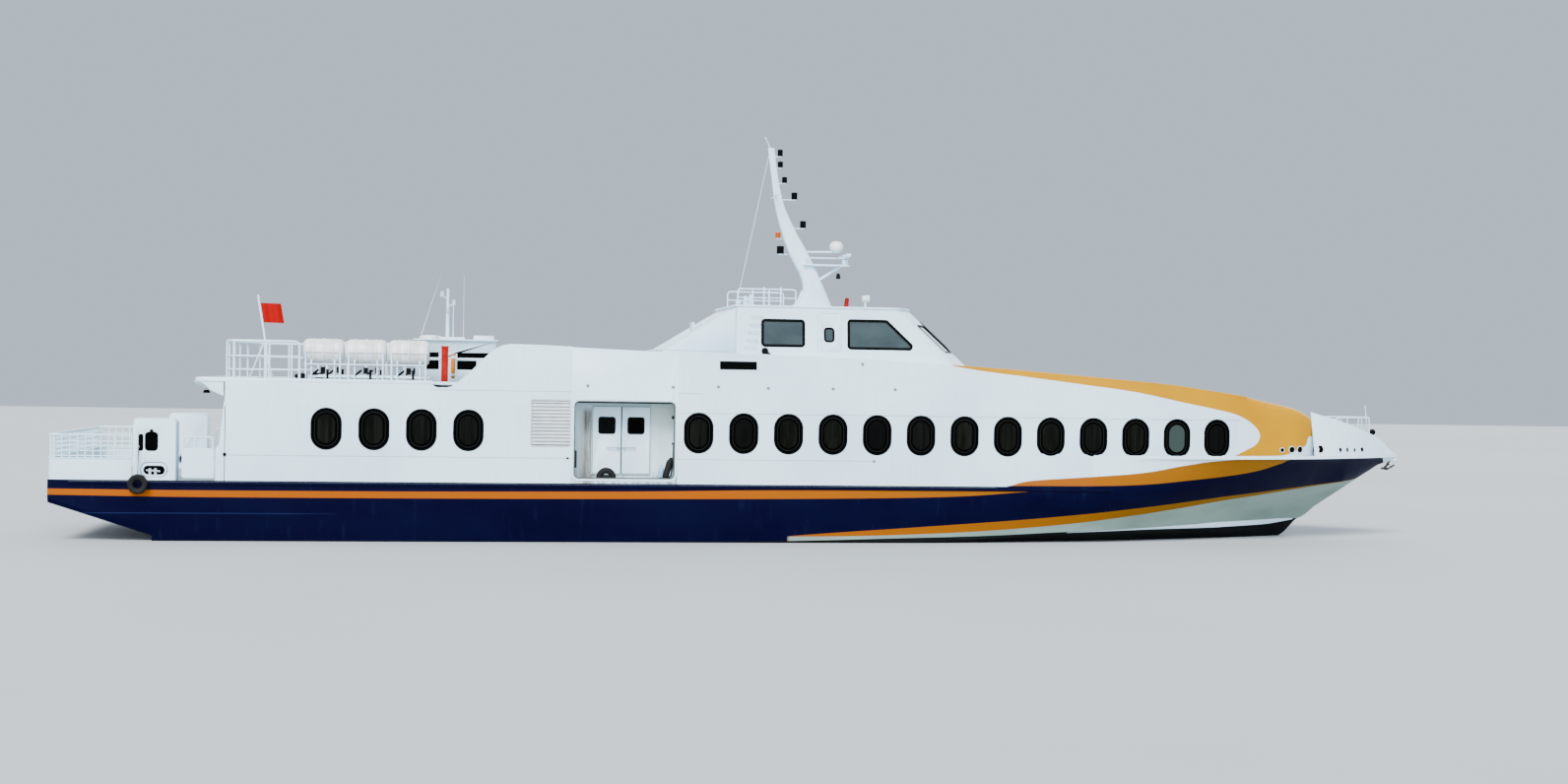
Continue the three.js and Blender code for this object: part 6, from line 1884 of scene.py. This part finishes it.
# %% Aft mast
AFT_X = -9.36
shapes = [
    post(AFT_X, 0, HOOD_TOP, 6.98, 0.055, 0.036, 20),
    rod((AFT_X, -0.42, 6.3), (AFT_X, 0.42, 6.3), 0.02),
    rod((-10.15, 0, HOOD_TOP + 0.05), (-8.87, 0, HOOD_TOP + 0.05), 0.04),
    post(-9.2, 0, HOOD_TOP + 0.05, 6.65, 0.016, 0.01),
    rod((AFT_X, 0, 6.7), (AFT_X - 0.2, 0, 6.74), 0.014),
    rod((AFT_X, 0, 6.5), (AFT_X + 0.2, 0, 6.5), 0.014),
    post(AFT_X, 0, HOOD_TOP, HOOD_TOP + 0.02, 0.11, sides=24),
]
white_piece("aft_mast_post", shapes, replaces=("aft_mast",))
lamps = [
    post(AFT_X - 0.16, 0, 6.74, 6.9, 0.06, 0.045), post(AFT_X + 0.17, 0, 6.5, 6.66, 0.055, 0.045),
]
lamps += [post(AFT_X, y, 6.29, 6.44, 0.045) for y in (-0.42, 0.42)]
join_meshes("aft_mast_lamps", lamps, lens_clear)
whips = [
    post(-8.91, 0, 5.55, 7.35, 0.012, 0.005, 8),
    rod((-10.12, 0, 5.55), (-9.57, 0, 7.35), 0.016, 0.004, 8),
]
join_meshes("whip_aerials", whips, louvre_grey)

# %% [markdown]
# ## Wheelhouse roof and its fittings
# The roof plate overhangs the panes a little. On it stand rails, mushroom vents, a searchlight
# and a red alarm beacon, and foothold rungs climb the side.

# %% Wheelhouse roof
def roof_ring(grow, z):
    ring = wheelhouse_ring(HEAD, -grow)
    return [(x, y, z) for x, y, _ in ring]


ROOF_EDGE = ((0.02, 6.5603), (0.032, 6.575), (0.03, 6.605), (0.01, 6.62), (-0.6, 6.635))
ROOF_Z, ROOF_RAIL_Z, ROOF_RAIL_Y = 6.62, 7.12, 1.15
ROOF_RAIL_AFT, ROOF_RAIL_FORE = -1.15, 0.54
VENT = [
    (0.0, 0.0), (0.09, 0.0), (0.09, 0.04), (0.05, 0.05), (0.05, 0.16), (0.1, 0.17), (0.095, 0.21),
    (0.05, 0.235), (0.0, 0.24),
]
shapes = [skin([roof_ring(grow, z) for grow, z in ROOF_EDGE])]
for _, sign in SIDES:
    y = sign * ROOF_RAIL_Y
    route = [
        (ROOF_RAIL_AFT, y, ROOF_Z), (ROOF_RAIL_AFT, y, ROOF_RAIL_Z), (ROOF_RAIL_FORE, y, ROOF_RAIL_Z),
        (ROOF_RAIL_FORE, y, ROOF_Z),
    ]
    shapes.append(tube(rounded_path(route, 0.1), 0.02))
    shapes.append(rod((ROOF_RAIL_AFT, y, 6.87), (ROOF_RAIL_FORE, y, 6.87), 0.014))
    shapes += [post(x, y, ROOF_Z, 7.18, 0.022) for x in (-0.39, 0.1)]
    shapes.append(post(-0.7, sign * 0.6, ROOF_Z, 6.98, 0.06, 0.045, 20))
    shapes.append(moved(lathe(VENT, 24), Matrix.Translation((-0.85, sign * 0.9, ROOF_Z))))
shapes += [post(2.63, -0.9, 6.6, 6.82, 0.03), post(2.4, 0.9, 6.6, 6.74, 0.04)]
white_piece("wheelhouse_roof_plate", shapes, replaces=("wheelhouse_roof",))
light_head = [
    rod((2.54, -0.9, 6.91), (2.74, -0.9, 6.93), 0.09, 0.1, 28),
    rod((2.63, -0.9, 6.8), (2.63, -0.9, 6.87), 0.05),
]
join_meshes("searchlight", light_head, raft_white)
lens = rod((2.738, -0.9, 6.93), (2.75, -0.9, 6.931), 0.088, sides=28)
join_meshes("searchlight_lens", [lens], lens_clear)
beacon = rod((2.4, 0.9, 6.73), (2.43, 0.9, 7.0), 0.075, 0.06, 24)
join_meshes("alarm_beacon", [beacon], red_gel, slot="red_gel")

# %% Rungs, side lamp and studs
STUDS = (
    (-5.526, 4.284), (-3.192, 4.279), (-1.943, 4.306), (-0.554, 4.292), (1.263, 4.298),
    (3.025, 4.308), (2.095, 5.0),
)
for side, sign in SIDES:
    rungs = []
    for i in range(5):
        z = 5.42 + 0.22 * i
        y = FOOT["half"] - (z - FOOT["z"]) * 0.119
        rungs.append(bent_bar(-0.97 + 0.05 * i, z, 0.15, y - 0.01, y + 0.07, sign, 0.011, 8))
    join_meshes(f"foothold_rungs_{side}", rungs, louvre_grey, slot="white_paint")
    lamp = [
        rod((-0.56, sign * 2.54, 5.32), (-0.56, sign * 2.72, 5.32), 0.07, 0.1, 24),
        rod((-0.46, sign * 2.56, 5.27), (-0.38, sign * 2.62, 5.2), 0.035),
    ]
    join_meshes(f"side_lamp_{side}", lamp, lamp_black)
    studs = []
    for x, z in STUDS:
        y = wall_half(x, z)
        studs.append(rod((x, sign * (y - 0.01), z), (x, sign * (y + 0.03), z), 0.045, 0.035, 20))
    studs.append(rod((2.45, sign * 3.44, 2.3), (2.45, sign * 3.475, 2.3), 0.045, 0.035, 20))
    join_meshes(f"side_studs_{side}", studs, stud_grey)
    fittings = [
        block(-15.13, -15.05, sign * 3.445, sign * 3.475, 2.28, 2.36),
        block(-6.08, -6.02, sign * 3.445, sign * 3.47, 2.28, 2.33),
        post(-15.64, sign * 2.9, 3.93, 4.02, 0.1, 0.07),
    ]
    join_meshes(f"dark_fittings_{side}", fittings, lamp_black)

# %% [markdown]
# ## The bow
# The pulpit guards the foredeck over the bulwark, with a jackstaff at its tip. Small ports and a
# fairlead pierce the plate just over the knuckle; a near-black plate in each is painted shade.

# %% Pulpit, ports and fairlead
PULPIT_Z = 3.64
legs = [(17.5, 0.571), (18.15, 0.38), (18.56, 0.26)]
shapes = []
for _, sign in SIDES:
    route = [
        (17.1, 0.66 * sign, 3.45), (17.4, 0.6 * sign, PULPIT_Z), (18.56, 0.26 * sign, PULPIT_Z),
        (18.6, 0.1 * sign, PULPIT_Z), (18.6, 0.0, PULPIT_Z),
    ]
    shapes.append(tube(rounded_path(route, 0.12), 0.024, 12))
    shapes += [post(x, y * sign, FOREDECK_Z, PULPIT_Z, 0.02) for x, y in legs]
shapes.append(rod((18.7, 0, 2.54), (18.54, 0, 4.02), 0.024, 0.016))
white_piece("bow_pulpit_tubes", shapes, replaces=("bow_pulpit",))


def bow_surface(sign):
    def at(a, b, rise):
        lean = BULWARK_LEAN * (b - FOREDECK_Z) if a > NOSE_END else 0.0
        draw = NOSE_DRAW(a) if a <= NOSE_END else 0.0
        return (a, sign * (deck_half(a) - 0.012 - draw - lean + rise), b)
    return at


rollers = [
    rod((18.5, -0.1, 3.1), (18.5, 0.1, 3.1), 0.07), rod((18.78, -0.08, 3.2), (18.78, 0.08, 3.2), 0.09),
    rod((18.5, 0, 3.08), (18.8, 0, 3.18), 0.045),
]
join_meshes("stem_head_rollers", rollers, lamp_black)
BOW_PORTS = [  # x, z, width, height
    (14.74, 2.71, 0.13, 0.12), (15.1, 2.72, 0.2, 0.17), (15.42, 2.72, 0.2, 0.17),
    (16.15, 2.73, 0.27, 0.21), (16.98, 2.7, 0.11, 0.13), (17.27, 2.7, 0.09, 0.13),
    (17.58, 2.69, 0.08, 0.11), (17.92, 2.7, 0.13, 0.13),
]
for side, sign in SIDES:
    face = bow_surface(sign)
    # A near-black plate in each port is painted shade.
    port_shades, rims = [], []
    for x, z, width, height in BOW_PORTS:
        outline = rounded_rect(x, z, width, height, min(width, height) * 0.45, 4)
        port_shades.append(pane(face, outline, 0.006, 0.02))
        rims.append(gasket_ring(face, outline, 0.0, 0.016, 0.014, -0.01))
    join_meshes(f"bow_port_painted_shade_{side}", port_shades, painted_shade)
    white_piece(f"bow_port_rims_{side}", rims)

# %% [markdown]
# ## Floor and light
# The photograph was taken in bright overcast light, which comes softly from above and from the
# starboard side. A plain pale floor lies at the waterline.

# %% Stage and light
FLOOR_HALF = 160
floor_mesh = bpy.data.meshes.new("waterline_floor")
floor_corners = [(FLOOR_HALF * x, FLOOR_HALF * y, 0) for x, y in ((-1, -1), (1, -1), (1, 1), (-1, 1))]
floor_mesh.from_pydata(floor_corners, [], [(0, 1, 2, 3)])
floor = placed("waterline_floor", floor_mesh)
floor_mesh.materials.append(plain_finish("pale_floor", "#A4A9AC", "#9EA3A6", 0.05, 0.9))

world = bpy.data.worlds.new("overcast")
world.use_nodes = True
background = world.node_tree.nodes["Background"]
background.inputs["Color"].default_value = linear("#DAEAFA")
background.inputs["Strength"].default_value = 0.85
bpy.context.scene.world = world
# The lights are wide and soft: a key from above, and a softer fill on each side.
for name, energy, spread_angle, towards, colour in (
    ("key_light", 6.0, 25, (0.35, 0.75, -0.9), "#FFFFFF"),
    ("starboard_fill", 4.6, 80, (0.15, 1.0, -0.28), "#F0F7FF"),
    ("port_fill", 3.4, 80, (-0.2, -1.0, -0.35), "#F0F7FF"),
):
    lamp_data = bpy.data.lights.new(name, "SUN")
    lamp_data.energy, lamp_data.angle = energy, math.radians(spread_angle)
    lamp_data.color = linear(colour)[:3]
    lamp = placed(name, lamp_data)
    lamp.rotation_euler = Vector(towards).to_track_quat("-Z", "Y").to_euler()
